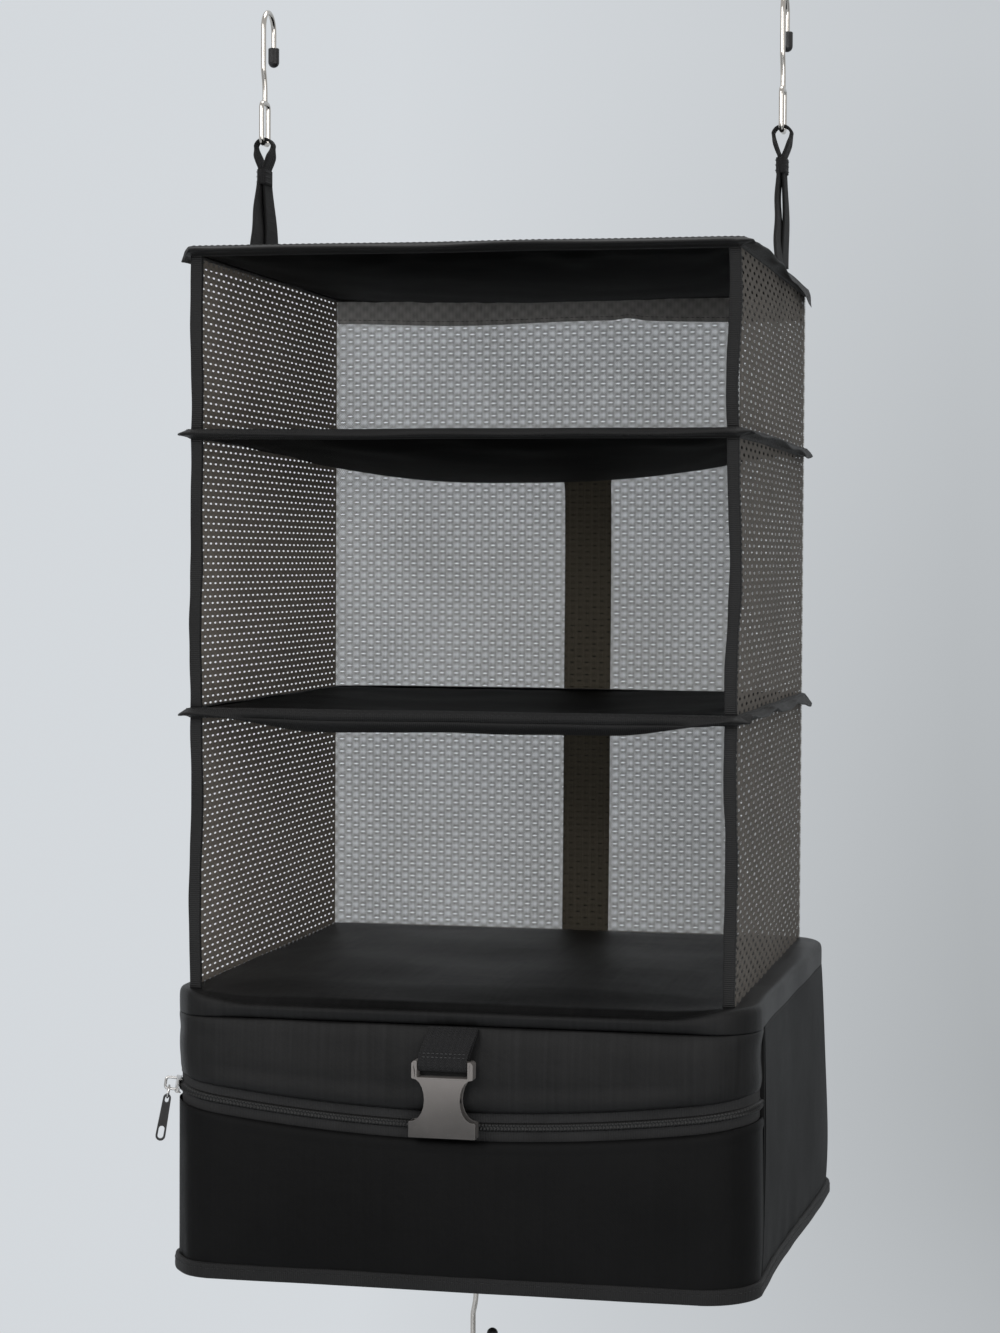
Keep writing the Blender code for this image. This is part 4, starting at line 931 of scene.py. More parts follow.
clothWall("upperFrontPanel", "base_front_upper_panel", {
    "stations": frontStations(), "finish": "ribbedNylon", "inset": baseLook["lidInset"], "rows": 44,
    "edges": (lambda x: zipHeight(x) + zipLine["mouth"] / 2, lambda x: wallTop), "swell": upperSwell,
    "tall": 0.046, "board": "base_lid_board"})
clothWall("lowerFrontPanel", "base_front_lower_panel", {
    "stations": frontStations(), "finish": "nylon", "inset": 0.0, "rows": 44,
    "edges": (lambda x: wallFoot, lambda x: zipHeight(x) - zipLine["mouth"] / 2), "swell": lowerSwell,
    "tall": 0.09, "board": "base_floor_board"})
clothWall("sideAndBackPanel", "base_back_panel", {
    "stations": backStations(), "finish": "nylon", "inset": 0.0, "rows": 56,
    "edges": (lambda x: wallFoot, lambda x: wallTop), "swell": sideSwell,
    "tall": wallTop - wallFoot, "board": "base_floor_board"})
print("base panels ready")


def squarePlate(half, radius, cells):
    # a square grid whose corners are rounded: each corner's square is pressed into a disc
    line = np.linspace(-1.0, 1.0, cells + 1) * half
    x, y = np.meshgrid(line, line, indexing="ij")
    coreX, coreY = np.clip([x, y], radius - half, half - radius)
    dx = (x - coreX) / radius
    dy = (y - coreY) / radius
    outX = dx * np.sqrt(1 - dy ** 2 / 2)
    outY = dy * np.sqrt(1 - dx ** 2 / 2)
    return coreX + outX * radius, coreY + outY * radius, line


def rimOf(grid):
    # the outer points of a grid, once round
    return np.concatenate([grid[:, 0], grid[-1, 1:], grid[-2::-1, -1], grid[0, -2:0:-1]])


def paddedLid():
    # a plate crowned at its middle and dipping to the front seam, an edge rolled by cosine and
    # sine, rounder at the front seam and squarer at the sides, and a flat underside
    top, depth, edge = size["lidLevel"], baseLook["lidDepth"], baseLook["lidEdge"]
    x, y, line = squarePlate(size["baseHalf"] - edge, size["baseCorner"] - edge, baseLook["lidCells"])
    share = np.maximum(np.abs(x), np.abs(y)) / (size["baseHalf"] - edge)
    crown = baseLook["crown"] * (1 - share ** 2.5)
    slow = ripple(x, y, 131, 0.12) * baseLook["lidSlow"]
    quick = ripple(x, y, 132, 0.045) * baseLook["lidQuick"] * smoothStep(0.5, 1.0, share)
    falls = 0.5 * smoothStep(-0.112, -0.151, y) + 0.5 * smoothStep(-0.1527, -0.1565, y)
    dip = baseLook["lidDip"] * smoothStep(0.156, 0.112, np.abs(x)) * falls
    plate = joined(x, y, top + crown - dip + (slow + quick) * smoothStep(1.0, 0.86, share))
    rim = rimOf(plate)
    reach = size["baseHalf"] - size["baseCorner"]
    way = rim[:, :2] - np.clip(rim[:, :2], -reach, reach)
    way = way / np.linalg.norm(way, axis=1)[:, None]
    crease = creaseAt(rim[:, 0], way[:, 1])
    run = lengthsAlong(closed(rim))
    wander = ripple(run[:-1], 0, 133, 0.07)
    waist = top - depth * baseLook["lidWaist"]
    square = 0.5 + 0.5 * crease
    lowest = math.radians(baseLook["lidLowest"])
    loops = []
    for angle in np.linspace(math.pi / 2, -lowest, 15):
        if angle > 0:
            out = edge * max(math.cos(angle), 0.0) ** square
            height = waist + (rim[:, 2] - waist) * math.sin(angle) ** square
        else:
            out = edge * (1.0 - crease * (1.0 - math.cos(angle)))
            height = np.full(len(rim), waist + (waist - top + depth) / math.sin(lowest) * math.sin(angle))
        plan = rim[:, :2] + way * (out + baseLook["lidWander"] * wander * math.cos(angle))[:, None]
        loops.append(joined(plan[:, 0] + tuckAt(plan[:, 0]), plan[:, 1], height))
    loops = np.stack(loops, axis=1)
    under = joined(x, y, top - depth)
    strip = np.stack([loops[:, -1], rimOf(under)], axis=1)
    parts = [gridPart(plate, line, line), gridPart(loops, run, lengthsAlong(loops[0]), ringRows=True),
             gridPart(strip, run, [0.0, 0.003], ringRows=True), gridPart(under, line, line)]
    lid = makePiece("paddedLid", "ribbedNylon", reshaped(parts, baseWarp), "base", "nylon", "base_lid_cover")


paddedLid()

foot = size["floorLevel"]
hemLook = {"thick": 0.0016, "height": 0.0088, "stand": 0.0004, "behind": -0.0022, "seed": 141, "wander": 0.0003,
           "flare": 0.0003, "seam": 0.0024}


def footHem():
    # a folded tape carried once round the base's foot; returns the line to sew on, with its ways out
    stand, behind = hemLook["stand"], hemLook["behind"]
    thick, top = hemLook["thick"], foot + hemLook["height"]
    profile = roundCorners([
        (behind, foot + 0.0002), (stand + thick * 0.6, foot), (stand + thick, foot + 0.0016),
        (stand + thick * 0.85, top - 0.002), (stand + thick * 0.65, top - 0.0003),
        (stand - 0.0012, top), (behind, top - 0.0012)], 2, ring=True)
    stations = squareStations(80, 14)
    ways = stations[1]
    run = lengthsAlong(closed(baseOutline(stations, 0.0)))
    lift = ripple(run[:-1], 0, hemLook["seed"], 0.09) * hemLook["wander"]
    push = ripple(run[:-1], 0, hemLook["seed"] + 1, 0.05) * hemLook["wander"] * 0.6
    push = push + hemLook["flare"] * (np.abs(ways).min(axis=1) > 0.02)
    loops = []
    for out, height in profile:
        plan = baseOutline(stations, out) + ways * push[:, None]
        loops.append(joined(plan[:, 0] + 0.8 * tuckAt(plan[:, 0]), plan[:, 1], height + lift))
    loops = baseWarp(np.stack(loops, axis=1))
    makePiece("footHem", "hemTape", [bandPart(loops, run)], "base", "tape", "base_hem_binding")
    sewn = profile[:, 1].max() - hemLook["seam"]
    at = int(np.argmin(np.abs(profile[:, 1] - sewn) + (profile[:, 0] < np.median(profile[:, 0]))))
    return closed(loops[:, at]), closed(joined(ways[:, 0], ways[:, 1], 0.0))


footHemLine = footHem()


def floorCloth():
    # the cloth under the base: two square plates that meet at the rim
    x, y, line = squarePlate(size["baseHalf"] - 0.0005, size["baseCorner"], 60)
    share = np.maximum(np.abs(x), np.abs(y)) / size["baseHalf"]
    sag = 0.0004 * ripple(x, y, 151, 0.07) * smoothStep(1.0, 0.9, share)
    low = joined(x, y, foot + 0.0001 + np.abs(sag))
    high = joined(x, y, foot + baseLook["floor"])
    strip = np.stack([rimOf(low), rimOf(high)], axis=1)
    parts = [gridPart(low, line, line), gridPart(high, line, line),
             gridPart(strip, lengthsAlong(closed(rimOf(low))), [0, 0.001], ringRows=True)]
    cloth = makePiece("floorCloth", "nylon", reshaped(parts, baseWarp), "base", "nylon", "base_floor_cloth")


floorCloth()


seamLook = {"sunk": 0.0022, "rise": 0.0007, "sway": 0.0003, "tucked": 0.95}


def sideSeam(name, node, sign):
    # a low sewn ridge between the front panels and the flank, a sine's rise over its height
    low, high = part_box(node)
    z = np.linspace(low.z, high.z, 70)
    section = roundCorners([(0.0, -0.002), (0.0012, -0.0019), (0.0023, -0.0008), (0.0023, 0.0008),
                            (0.0012, 0.0019), (0.0, 0.002), (-0.002, 0.0)], 1, ring=True)
    share = (z - low.z) / (high.z - low.z)
    push = seamLook["rise"] * np.sin(math.pi * share) ** 0.8
    if sign < 0:
        push = push - baseLook["tuck"] * seamLook["tucked"]
    sway = seamLook["sway"] * ripple(z, 0, 161 + sign, 0.05)
    x = sign * (size["baseHalf"] - seamLook["sunk"] + section[:, 0] + push[:, None])
    loops = joined(x, (low.y + high.y) / 2 + section[:, 1] + sway[:, None], z[:, None])
    makePiece(name, "nylon", sweepPart(baseWarp(loops), z - z[0]), "base", "tape", node)


sideSeam("leftSeam", "base_left_seam", -1)
sideSeam("rightSeam", "base_right_seam", 1)


# Zip


def zipStrip(name, node, look):
    # a thin strip behind the mouth, its front between two insets by the share that shape() gives
    spans = look["spans"]
    stations = frontStations(spans, max(14, spans // 9), max(20, spans // 6))
    outer, inner = (baseOutline(stations, -inset) for inset in look["insets"])
    towardsSeam = stations[1] * 0.0024 * smoothStep(0.14, 0.157, outer[:, :1])
    outer, inner = outer + towardsSeam, inner + towardsSeam
    run = lengthsAlong(outer)
    middle = zipHeight(outer[:, :1])
    low, high = look["edges"]
    share = np.linspace(0.0, 1.0, look["rows"])
    lift = look["shape"](run[:, None], share)
    front = joined(inner[:, :1] + (outer - inner)[:, :1] * lift, inner[:, 1:] + (outer - inner)[:, 1:] * lift,
                   middle + low + (high - low) * share)
    back = joined(inner[:, :1], inner[:, 1:], middle + np.array([high, low]))
    parts = sweepPart(np.concatenate([front, back], axis=1), run)
    makePiece(name, look["finish"], parts, "base", look["slot"], node)


def tapeRidges(run, share):
    # flat cloth with a raised cord where it meets the coil
    near = np.exp(-((share - 0.12) / 0.09) ** 2)
    return 0.55 + 0.45 * near + 0.03 * np.sin(run * 900.0)


coilLook = {"pitch": 0.0019, "depth": 0.3, "half": 0.0024}


def coilTeeth(run, share):
    # two rows of rounded loops, one half a pitch behind the other, with a groove between
    across = 2.0 * share - 1.0
    phase = np.where(across > 0, 0.0, math.pi)
    loops = 0.5 + 0.5 * np.sin(2 * math.pi * run / coilLook["pitch"] + phase + np.abs(across) * 0.9)
    dome = np.sqrt(np.clip(1.0 - np.abs(across) ** 3.0, 0.0, 1.0))
    groove = np.exp(-(across / 0.16) ** 2) * 0.35
    return np.clip(dome * (1.0 - coilLook["depth"] * (1 - loops)) - groove, 0.02, 1.0)


behind = baseLook["panel"] + baseLook["lidInset"] + size["gap"]
zipTapeLook = {"finish": "zipTape", "insets": (behind - 0.0004, behind + 0.0009), "rows": 18, "spans": 150,
               "slot": "tape"}
zipStrip("upperZipTape", "zip_upper_tape", {
    **zipTapeLook, "edges": (0.0002, zipLine["tapeWidth"]), "shape": tapeRidges})
zipStrip("lowerZipTape", "zip_lower_tape", {
    **zipTapeLook, "edges": (-zipLine["tapeWidth"], -0.0002),
    "shape": lambda run, share: tapeRidges(run, 1.0 - share)})
zipStrip("zipCoil", "zip_coil", {
    "finish": "coil", "insets": (behind - 0.002, behind - 0.0002), "rows": 10, "spans": 1250, "slot": "vinyl",
    "edges": (-coilLook["half"], coilLook["half"]), "shape": coilTeeth})
print("zip ready")


# Webbing


def webbingParts(path, widths, thickness, sideAxis):
    # a flat oblong section, round at both edges, carried along a smooth path; each point of the
    # section is a share of the flat half width, a reach past it, and a height
    ahead = np.gradient(path, axis=0)
    side = np.asarray(sideAxis, float)
    normal = np.cross(ahead / np.linalg.norm(ahead, axis=1)[:, None], side)
    normal /= np.linalg.norm(normal, axis=1)[:, None]
    half = thickness / 2
    angle = np.radians(np.linspace(-90, 90, 5))
    section = [(1, math.cos(a) * half, math.sin(a) * half) for a in angle]
    section += [(t, 0, half) for t in (0.6, 0.2, -0.2, -0.6)]
    share, past, height = np.array(section + [(-s, -c, -n) for s, c, n in section]).T
    reach = (np.broadcast_to(widths, len(path)) / 2 - half)[:, None] * share + past
    loops = path[:, None] + side * reach[..., None] + normal[:, None] * height[:, None]
    return sweepPart(loops, lengthsAlong(path))


def stitchParts(starts, ends, outs, thick):
    # short round stitches, each from one needle hole to the next, half sunk in the cloth
    way = ends - starts
    length = np.linalg.norm(way, axis=1)
    way = way / length[:, None]
    outs = outs / np.linalg.norm(outs, axis=1)[:, None]
    side = np.cross(way, outs)
    share = np.array([0.0, 0.14, 0.5, 0.86, 1.0])
    fullness = np.array([0.25, 0.85, 1.0, 0.85, 0.25])
    rise = np.array([-0.5, 0.2, 0.45, 0.2, -0.5])
    angle = np.radians(np.arange(6) * 60.0)[:, None]
    centre = starts[:, None] + way[:, None] * (share[:, None] * length[:, None, None])
    centre = centre + outs[:, None] * (rise * thick)[:, None]
    ring = outs[:, None, None] * np.cos(angle) + side[:, None, None] * np.sin(angle)
    points = centre[:, :, None] + ring * (fullness * thick / 2)[:, None, None]
    first = np.arange(len(starts))[:, None] * 30
    i = np.arange(4)[:, None] * 6
    j = np.arange(6)
    after = (j + 1) % 6
    faces = first[:, :, None, None] + np.stack([i + j, i + after, i + 6 + after, i + 6 + j], axis=-1)
    faces = [faces.reshape(-1, 4)]
    for offset in (0, 24):
        for cap in ([0, 1, 2, 3], [0, 3, 4, 5]):
            faces.append(first + offset + np.array([cap]))
    faces = np.vstack(faces)
    uv = np.broadcast_to([(0.0, 0.0), (0.0004, 0.0), (0.0004, 0.0009), (0.0, 0.0009)], (len(faces), 4, 2))
    return [(points.reshape(-1, 3), faces, uv)]


def stitchRow(path, outs, pitch, length):
    # starts and ends of stitches along a path, with the cloth's way out at each
    run = lengthsAlong(path)
    starts = np.arange(pitch * 0.3, run[-1] - length, pitch)

    def at(spots, values):
        return np.stack([np.interp(spots, run, values[:, k]) for k in range(3)], axis=1)

    return at(starts, path), at(starts + length, path), at(starts + length / 2, np.broadcast_to(outs, path.shape))


def sewnRows(name, rows, body, look):
    # several rows of stitches in one piece; body is a body's name, or a tier whose body carries it
    found = [stitchRow(path, np.asarray(out, float), look["pitch"], look["length"]) for path, out in rows]
    starts, ends, outs = (np.vstack(part) for part in zip(*found))
    parts = stitchParts(starts, ends, outs, look["thick"])
    makePiece(name, look["finish"], parts, body, look["slot"], weld=0)


strapThread = {"thick": 0.00055, "pitch": 0.0026, "length": 0.0019, "finish": "thread", "slot": "webbing"}
buckleThread = {**strapThread, "thick": 0.0006, "pitch": 0.0024, "length": 0.0018}
seamThread = {"thick": 0.00042, "pitch": 0.0034, "length": 0.0025, "finish": "darkThread", "slot": "tape"}
netThread = {**seamThread, "thick": 0.0004, "pitch": 0.0032, "length": 0.0022}
strapLook = {
    "x": 0.153, "web": 0.0016, "rise": 0.0748, "loopDepth": 0.0074, "spread": 0.0062, "tackDrop": 0.019,
    "tackHigh": 0.008, "tackDepth": 0.0175, "tackThick": 0.0058, "tackedHalf": 0.001, "legHead": 0.016,
    "legWidth": 0.0285, "legSpread": 0.015, "legBow": 0.0008, "legWander": 0.0004, "squeezed": -0.0785,
    "free": -0.085, "rowDrops": (0.0066, 0.0036, 0.0008), "rowHalf": 0.0078,
}


def hangingStrap(label, sign):
    # a loop squeezed in the hook's eye and wider below it, a sewn tack, and two legs that part
    # down to the panel; the loop's half width is a sine of the height, its crown an arc
    look = strapLook
    x = sign * look["x"]
    web = look["web"]
    top = -look["rise"] + size["gap"] + web / 2
    tack = top - look["tackDrop"]
    seat = size["topLevel"] + 0.0017 + size["gap"]
    spread = look["spread"] - web / 2
    rises = np.linspace(0.0, 0.75, 14)
    halves = np.maximum(look["tackedHalf"], spread * np.sin(rises * math.pi / 2) ** 0.8)
    left = np.stack([-halves, tack + look["tackDrop"] * rises], axis=1)
    half = np.vstack([left, arc((0, top - spread), spread, 165, 90, 14)])
    flat = evenly(roundCorners(np.vstack([half, half[-2::-1] * [-1, 1]]), 1), 110)
    wide = smoothStep(look["squeezed"], look["free"], flat[:, 1])
    widths = look["loopDepth"] + (look["tackDepth"] - look["loopDepth"]) * wide
    parts = webbingParts(joined(x + flat[:, 0], 0.0, flat[:, 1]), widths, web, (0, 1, 0))
    way = np.linspace(0, 1, 40)
    for side in (-1, 1):
        head = np.array([x + side * look["tackedHalf"], 0.0, tack + 0.0005])
        end = np.array([x, side * look["legSpread"], seat + 0.0006])
        leg = head * (1 - way[:, None]) + end * way[:, None]
        leg[:, 0] += side * look["legBow"] * np.sin(way * math.pi)
        leg[:, 0] += look["legWander"] * ripple(way, 0, 171 + side, 0.5)
        width = look["legHead"] + (look["legWidth"] - look["legHead"]) * smoothStep(0, 1, way)
        parts += webbingParts(leg, width, web, (0, 1, 0))
    tackPath = joined(x, 0.0, np.linspace(tack - look["tackHigh"], tack + 0.0006, 8))
    parts += webbingParts(tackPath, look["tackDepth"] * 1.03, look["tackThick"], (0, 1, 0))
    makePiece(f"{label}Strap", "webbing", parts, "top", "webbing", f"{label}_strap")
    across = np.linspace(-look["rowHalf"], look["rowHalf"], 6)
    rows = []
    for face in (-1, 1):
        for drop in look["rowDrops"]:
            line = joined(x + face * look["tackThick"] / 2, across, tack - drop)
            rows.append((line, (face, 0, 0)))
    sewnRows(f"{label}StrapStitches", rows, "top", strapThread)


hangingStrap("left", -1)
hangingStrap("right", 1)

for shelf in shelves:
    sewnRows(f"{shelf['node']}Stitches", [(shelf["sewn"], (0, 0, 1))], shelf["body"], seamThread)
for name, rows, tier in tapeRows:
    sewnRows(name, rows, tier, netThread)
sewnRows("footHemStitches", [footHemLine], "base", seamThread)

buckleLook = {"x": -0.003, "y": -0.167, "z": -0.588, "webWidth": 0.0268, "web": 0.0014, "lean": 0.0042,
              "bar": (0.0018, 0.0018), "rowRises": (0.004, 0.006), "rowHalf": 0.0122}
rearLook = {"x": 0.011, "width": 0.03, "folded": 0.026, "web": 0.0014, "length": 0.345, "flare": 0.0065,
            "bar": (0.0018, 0.002), "rowRises": (0.02, 0.032), "rowHalf": 0.0115}


def foldPath(head, centre, radius, tail, count):
    # down the head, half round a bar and up the tail, smooth and with even steps, as (y, z)
    return evenly(roundCorners(np.vstack([head, arc(centre, radius, 180, 360, 17), tail]), 2), count)


def buckleWebbing():
    # out from under the lid, down over the buckle's bar in a half circle, and back up behind
    # itself; it leans to the right as it rises
    y, z, web = buckleLook["y"], buckleLook["z"], buckleLook["web"]
    radius = math.hypot(*buckleLook["bar"]) + size["gap"] + web / 2
    top = size["lidLevel"] - baseLook["lidDepth"] - size["gap"] * 2
    inner = -size["baseHalf"] + baseLook["lidInset"] - size["gap"] - web / 2
    flat = foldPath([(inner - web - size["gap"], top), (y - radius * 0.75, top - 0.006)], (y, z), radius,
                    [(min(y + radius, inner), top - 0.006), (inner, top - 0.0006)], 110)
    x = buckleLook["x"] + buckleLook["lean"] * smoothStep(z + 0.001, top, flat[:, 1])
    path = joined(x, flat[:, 0], flat[:, 1])
    parts = webbingParts(path, buckleLook["webWidth"], web, (1, 0, 0))
    makePiece("buckleWebbing", "webbing", parts, "base", "webbing", "buckle_webbing")
    front = path[len(path) // 3 - 1::-1]
    across = np.linspace(-buckleLook["rowHalf"], buckleLook["rowHalf"], 24)
    rows = []
    for rise in buckleLook["rowRises"]:
        lean, faceY = (np.interp(z + rise, front[:, 2], front[:, k]) for k in (0, 1))
        rows.append((joined(across + lean, faceY - web / 2, z + rise), (0, -1, 0)))
    sewnRows("buckleWebbingStitches", rows, "base", buckleThread)


def rearStrap():
    # sewn behind the upper shelf, it hangs behind the net and folds round the male half's bar
    look = rearLook
    web = look["web"]
    upper = size["upperLevel"]
    end = upper - look["length"]
    y = size["half"] + 0.008 + size["gap"] + web / 2
    hang = size["baseHalf"] + 0.00075 + size["gap"] + 0.0028 + 0.0015 + web / 2
    radius = math.hypot(*look["bar"]) + size["gap"] + web / 2
    centre = hang + radius
    layer = hang + web + size["gap"]
    flat = foldPath([(y, upper + 0.0017), (y, upper - 0.004), (hang - 0.001, upper - 0.02),
                     (hang, upper - 0.045), (hang, end + 0.016)], (centre, end), radius,
                    [(centre + radius, end + 0.0036), (layer, end + 0.016), (layer, end + 0.036)], 260)
    path = joined(look["x"] + 0.0004 * ripple(flat[:, 1], 0, 181, 0.12), flat[:, 0], flat[:, 1])
    widths = look["folded"] + (look["width"] - look["folded"]) * smoothStep(end + 0.028, end + 0.038, flat[:, 1])
    flare = look["flare"] * smoothStep(upper - 0.022, upper + 0.0017, flat[:, 1])
    parts = webbingParts(path, widths + flare, web, (1, 0, 0))
    makePiece("rearStrap", "webbing", parts, "upper_shelf", "webbing", "rear_strap")
    across = np.linspace(-look["rowHalf"], look["rowHalf"], 24) + look["x"]
    rows = [(joined(across, layer + web / 2, end + rise), (0, 1, 0)) for rise in look["rowRises"]]
    sewnRows("rearStrapStitches", rows, "upper_shelf", strapThread)


buckleWebbing()
rearStrap()
lowerPlace = Matrix.Translation((-0.022, 0.0, size["floorLevel"] - 0.01))
lowerPlace = lowerPlace @ Matrix.Rotation(math.radians(45), 4, "Z")


def lowerLoop():
    # a short web folded round the lower hook's eye, its ends sewn flat under the floor
    web = strapLook["web"]
    radius = 0.00155 + size["gap"] + web / 2
    seat = 0.01 - size["gap"] - web / 2
    right = [(0.013, seat), (radius + 0.0035, seat), (radius + 0.0006, seat - web)]
    left = [(-px, pz) for px, pz in reversed(right)]
    flat = evenly(roundCorners(np.vstack([right, arc((0, 0), radius, 0, -180, 15), left]), 1), 80)
    parts = webbingParts(joined(flat[:, 0], 0.0, flat[:, 1]), strapLook["loopDepth"], web, (0, 1, 0))
    parts = reshaped(parts, lambda points: moved(points, lowerPlace))
    makePiece("lowerLoop", "webbing", parts, "base", "webbing", "lower_loop")


lowerLoop()
print("webbing ready")


# Hooks of bent wire

hookLook = {"wire": 0.0031, "reach": 0.0748, "mouth": 0.018, "bowl": 0.033, "offset": 0.0032, "bend": 0.0095,
            "eyeWidth": 0.01, "eyeLength": 0.0205, "eyeCorner": 0.0026, "tipRise": 0.0045, "sides": 18}


def tubeParts(path, radius, sides, ring=False):
    # a round section carried along a path that lies in the YZ plane
    ahead = (np.roll(path, -1, axis=0) - np.roll(path, 1, axis=0)) if ring else np.gradient(path, axis=0)
    side = np.array([1.0, 0.0, 0.0])
    normal = np.cross(ahead / np.linalg.norm(ahead, axis=1)[:, None], side)
    angle = (2 * math.pi * np.arange(sides) / sides)[:, None]
    loops = path[:, None] + side * (np.cos(angle) * radius) + normal[:, None] * (np.sin(angle) * radius)
    return sweepPart(loops, lengthsAlong(closed(path) if ring else path), ring)


def wireHook(node, matrix):
    # shank, crown and tip in one wire, and the closed eye that the webbing holds
    look = hookLook
    radius = look["wire"] / 2
    bowl = look["mouth"] / 2 + radius
    rise = look["reach"] + radius
    eyeTop = look["eyeLength"] - look["reach"]
    arch = arc((bowl, radius - bowl), bowl, 0, 180, 40)
    tip = [(2 * bowl, -look["bowl"] + look["wire"] + look["tipRise"])]
    shank = [(0.0, -look["bowl"]), (look["offset"], -look["bowl"] - look["bend"]),
             (look["offset"], eyeTop + radius)]
    flat = evenly(np.vstack([tip, arch, roundCorners(shank, 3)]), 110)
    parts = tubeParts(joined(0.0, flat[:, 0] - look["offset"], flat[:, 1] + rise), radius, look["sides"])
    stops, ways = squareStations(10, 8)
    halves = np.array([look["eyeWidth"] / 2 + radius, look["eyeLength"] / 2 + radius])
    corner = look["eyeCorner"] + 0.0004
    eye = evenly(closed(stops * (halves - corner) + ways * corner), 81)[:-1]
    ring = joined(0.0, eye[:, 0], eye[:, 1] + eyeTop - look["eyeLength"] / 2 + rise)
    parts += tubeParts(ring, radius, look["sides"], ring=True)
    parts = reshaped(parts, lambda points: moved(points, matrix))
    makePiece(node.split("_")[0] + "HookWire", "nickel", parts, node, "steel", node)


hookFoot = -hookLook["reach"] - hookLook["wire"] / 2
for node, sign in (("left_hook", -1), ("right_hook", 1)):
    wireHook(node, Matrix.Translation((sign * strapLook["x"], 0, hookFoot)))
wireHook("lower_hook", lowerPlace @ Matrix.Rotation(math.pi, 4, "X"))


# Moulded and cast pieces: the frame's own shapes with rounded edges


def roundedCopy(name, node, look):
    # a welded copy of the frame's piece, its faces joined, its edges rounded by a bevel; the rim
    # is a raised edge round the widest faces that look one way
    work = bmesh.new()
    work.from_mesh(bpy.data.objects[node].data)
    bmesh.ops.remove_doubles(work, verts=work.verts, dist=2e-6)
    bmesh.ops.dissolve_limit(work, angle_limit=math.radians(1.0), verts=work.verts, edges=work.edges)
    if "rim" in look:
        rim = look["rim"]
        faces = [face for face in work.faces
                 if face.normal.dot(Vector(rim["way"])) > 0.99 and face.calc_area() > rim["area"]]
        bmesh.ops.inset_region(
            work, faces=faces, thickness=rim["inset"], depth=-rim["depth"], use_even_offset=True)
    bmesh.ops.recalc_face_normals(work, faces=work.faces)
    mesh = bpy.data.meshes.new(name)
    work.to_mesh(mesh)
    work.free()
    mesh.shade_smooth()
    piece = addPiece(name, mesh, look["finish"], look["body"], look["slot"], node)
    bevel = piece.modifiers.new("roundedEdges", "BEVEL")
    bevel.width = look["width"]
    bevel.segments = 3
    bevel.limit_method = "ANGLE"
    bevel.angle_limit = math.radians(35)
    bevel.harden_normals = True
    sharpen(piece, 50)


buckleHalf = {"finish": "buckle", "width": 0.0004, "slot": "plastic"}
roundedCopy("femaleBuckle", "female_buckle", {
    **buckleHalf, "body": "female_buckle", "width": 0.00045,
    "rim": {"way": (0, -1, 0), "area": 0.0003, "inset": 0.0011, "depth": 0.00028}})
roundedCopy("maleBuckle", "male_buckle", {**buckleHalf, "body": "male_buckle"})
roundedCopy("maleLeftArm", "male_buckle_left_arm", {**buckleHalf, "body": "male_left_arm"})
roundedCopy("maleRightArm", "male_buckle_right_arm", {**buckleHalf, "body": "male_right_arm"})
roundedCopy("zipSlider", "zip_slider", {
    "finish": "zinc", "body": "zip_slider", "width": 0.00018, "slot": "steel"})
roundedCopy("zipPullTab", "zip_pull_tab", {
    "finish": "vinyl", "body": "zip_pull", "width": 0.0003, "slot": "vinyl"})
print("moulded pieces ready")

# Pieces of the frame that keep their own shape get a finish of their own
kept = {
    "zinc": ["zip_pull_ring"],
    "vinyl": ["left_hook_cap", "right_hook_cap", "lower_hook_cap"],
    "board": ["top_panel_board", "upper_shelf_board", "lower_shelf_board", "base_lid_board", "base_floor_board"],
}
for finish, nodes in kept.items():
    for node in nodes:
        for slot in bpy.data.objects[node].material_slots:
            slot.material = finishes[finish]


# Floor, light and camera

studio = {"floor": -1.25, "front": -3.5, "back": 3.3, "curve": 0.8, "top": 3.0, "width": 7.0,
          "pale": (0.66, 0.69, 0.72), "shade": (0.41, 0.43, 0.445), "beyond": (0.46, 0.485, 0.5),
          "sky": (1.0, 0.99, 0.98), "skyStrength": 0.52}
view = {"place": (0.3585, -1.7056, -0.3199), "turn": 12.178, "pitch": -2.064, "roll": 0.297, "lens": 80.87}


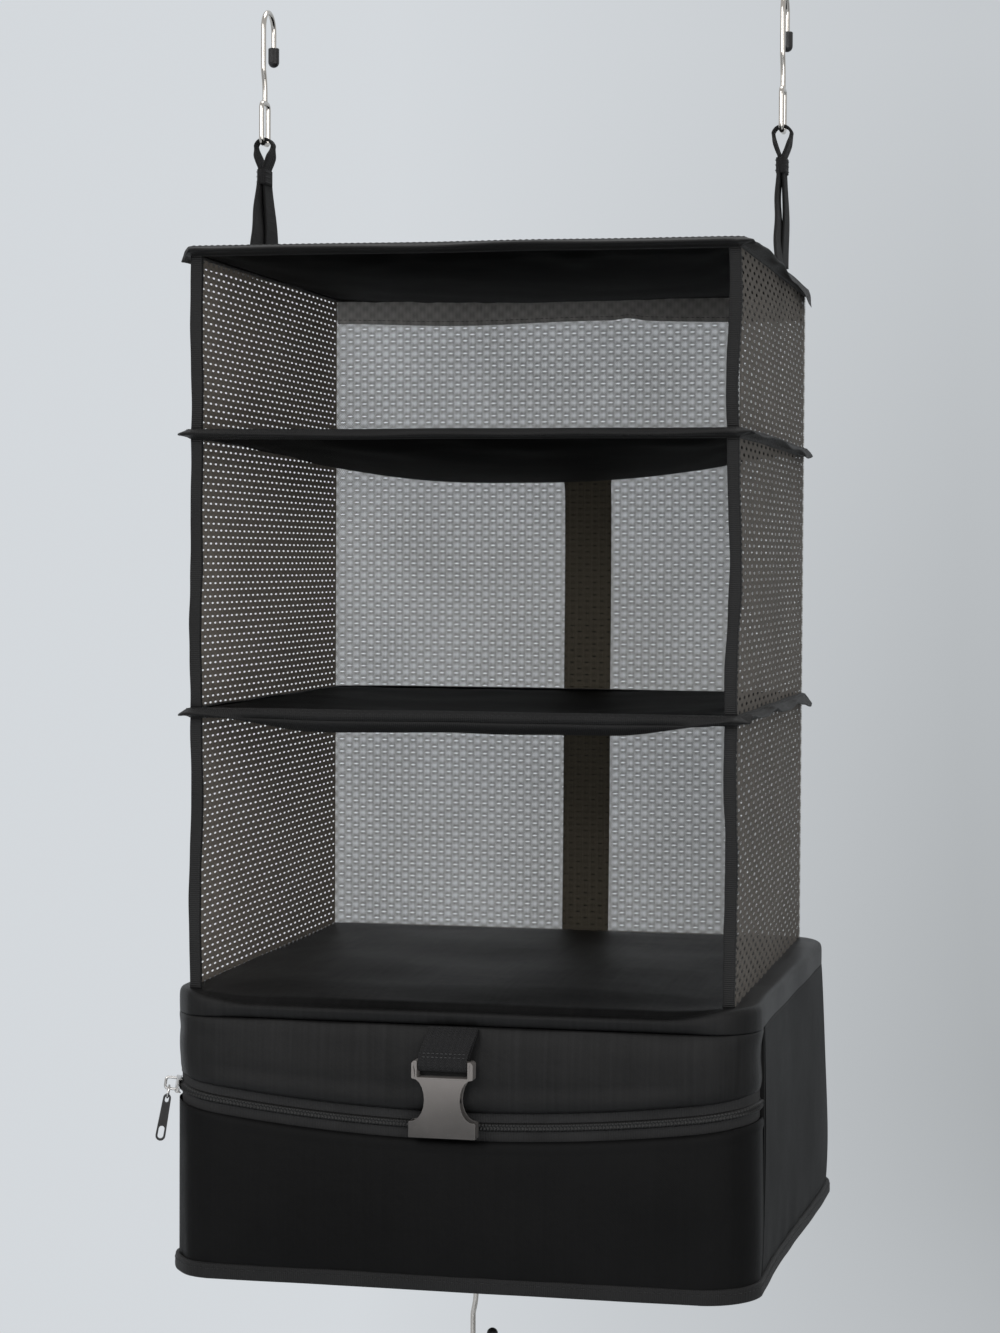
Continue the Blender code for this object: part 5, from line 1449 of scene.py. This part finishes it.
def stageSheet():
    # a floor that curves up into a backdrop: straight, a quarter round, straight
    floor, back, curve = studio["floor"], studio["back"], studio["curve"]
    flat = np.linspace((studio["front"], floor), (back - curve, floor), 12)
    bend = arc((back - curve, floor + curve), curve, -90, 0, 14)
    rise = np.linspace((back, floor + curve), (back, studio["top"]), 8)
    depth, height = np.vstack([flat, bend[1:], rise[1:]]).T
    x = np.linspace(-studio["width"], studio["width"], 20)
    angle = math.radians(view["turn"])
    points = moved(joined(x[:, None], depth, height), Matrix.Rotation(angle, 4, "Z"))
    # paler to the left, shaded to the lower right, and seen at its written colour above the floor
    paper = Finish("palePaper", Roughness=0.9)
    px, py, pz = paper.parts(paper.place())
    across = px * math.cos(angle) + py * math.sin(angle)
    away = py * math.cos(angle) - px * math.sin(angle)
    shaded = across.ramp(-0.19, 0.77) * (1.0 - pz.ramp(-1.13, 0.54) * 0.6)
    colour = paper.blend(shaded, studio["pale"], studio["shade"])
    paper.put("Base Color", colour)
    rays = paper.node("ShaderNodeLightPath").socket.node.outputs
    camera, glossy, through = (Strand(paper, rays[f"Is {kind} Ray"])
                               for kind in ("Camera", "Glossy", "Transmission"))
    glow = paper.node("ShaderNodeEmission", {}, {"Color": colour, "Strength": 1.0})
    wall = camera.larger(glossy).larger(through) * pz.ramp(floor + 0.02, floor + 0.3).larger(away.ramp(0.7, 1.7))
    mixed = paper.node("ShaderNodeMixShader", {}, {0: wall, 1: Strand(paper, paper.shader.outputs[0]), 2: glow})
    paper.join(mixed, paper.tree.nodes["Material Output"].inputs["Surface"])
    sheet = gridPart(points, x, np.arange(len(depth)) * 0.2)
    mesh = makeMesh("paperSweep", [sheet], outward=False)
    mesh.materials.append(paper.material)
    addObject("paperSweep", mesh)


def photoCamera():
    # the photograph's own place, direction and lens
    turn, pitch, roll = (math.radians(view[key]) for key in ("turn", "pitch", "roll"))
    right = Vector((math.cos(turn), math.sin(turn), 0))
    ahead = Vector((-math.sin(turn) * math.cos(pitch), math.cos(turn) * math.cos(pitch), math.sin(pitch)))
    up = right.cross(ahead)
    axes = (right * math.cos(roll) + up * math.sin(roll), up * math.cos(roll) - right * math.sin(roll), -ahead)
    data = bpy.data.cameras.new("photoCamera")
    data.lens = view["lens"]
    data.sensor_width = 36.0
    data.sensor_fit = "AUTO"
    camera = addObject("photoCamera", data)
    rows = [(*(axis[k] for axis in axes), view["place"][k]) for k in range(3)]
    camera.matrix_world = Matrix((*rows, (0, 0, 0, 1)))
    bpy.context.scene.camera = camera


def softLamp(name, place, target, width, power):
    data = bpy.data.lights.new(name, "AREA")
    data.shape = "SQUARE"
    data.size = width
    data.energy = power
    lamp = addObject(name, data)
    lamp.location = place
    lamp.rotation_euler = (Vector(target) - Vector(place)).to_track_quat("-Z", "Y").to_euler()


def studioWorld():
    # a plain sky; past the paper's edges the camera sees the paper's own tone
    world = bpy.data.worlds.new("studioWorld")
    bpy.context.scene.world = world
    world.use_nodes = True
    nodes = world.node_tree.nodes
    sky = nodes["Background"]
    beyond = nodes.new("ShaderNodeBackground")
    either = nodes.new("ShaderNodeMixShader")
    looking = nodes.new("ShaderNodeLightPath")
    sky.inputs["Color"].default_value = (*studio["sky"], 1.0)
    sky.inputs["Strength"].default_value = studio["skyStrength"]
    beyond.inputs["Color"].default_value = (*studio["beyond"], 1.0)
    for start, end in ((looking.outputs["Is Camera Ray"], either.inputs[0]), (sky.outputs[0], either.inputs[1]),
                       (beyond.outputs[0], either.inputs[2]),
                       (either.outputs[0], nodes["World Output"].inputs["Surface"])):
        world.node_tree.links.new(start, end)


stageSheet()
photoCamera()
softLamp("keyLamp", (-0.8, -2.0, 0.5), (0, 0, -0.45), 1.1, 16.0)
softLamp("frontLamp", (1.2, -2.1, -0.3), (0, 0, -0.42), 1.4, 15.0)
softLamp("fillLamp", (1.6, -1.0, 0.1), (0, 0, -0.45), 1.2, 0.8)
softLamp("topLamp", (0.1, 0.2, 1.4), (0, 0, -0.3), 1.2, 14.0)
studioWorld()
bpy.context.scene.view_settings.view_transform = "Standard"
print("studio ready")
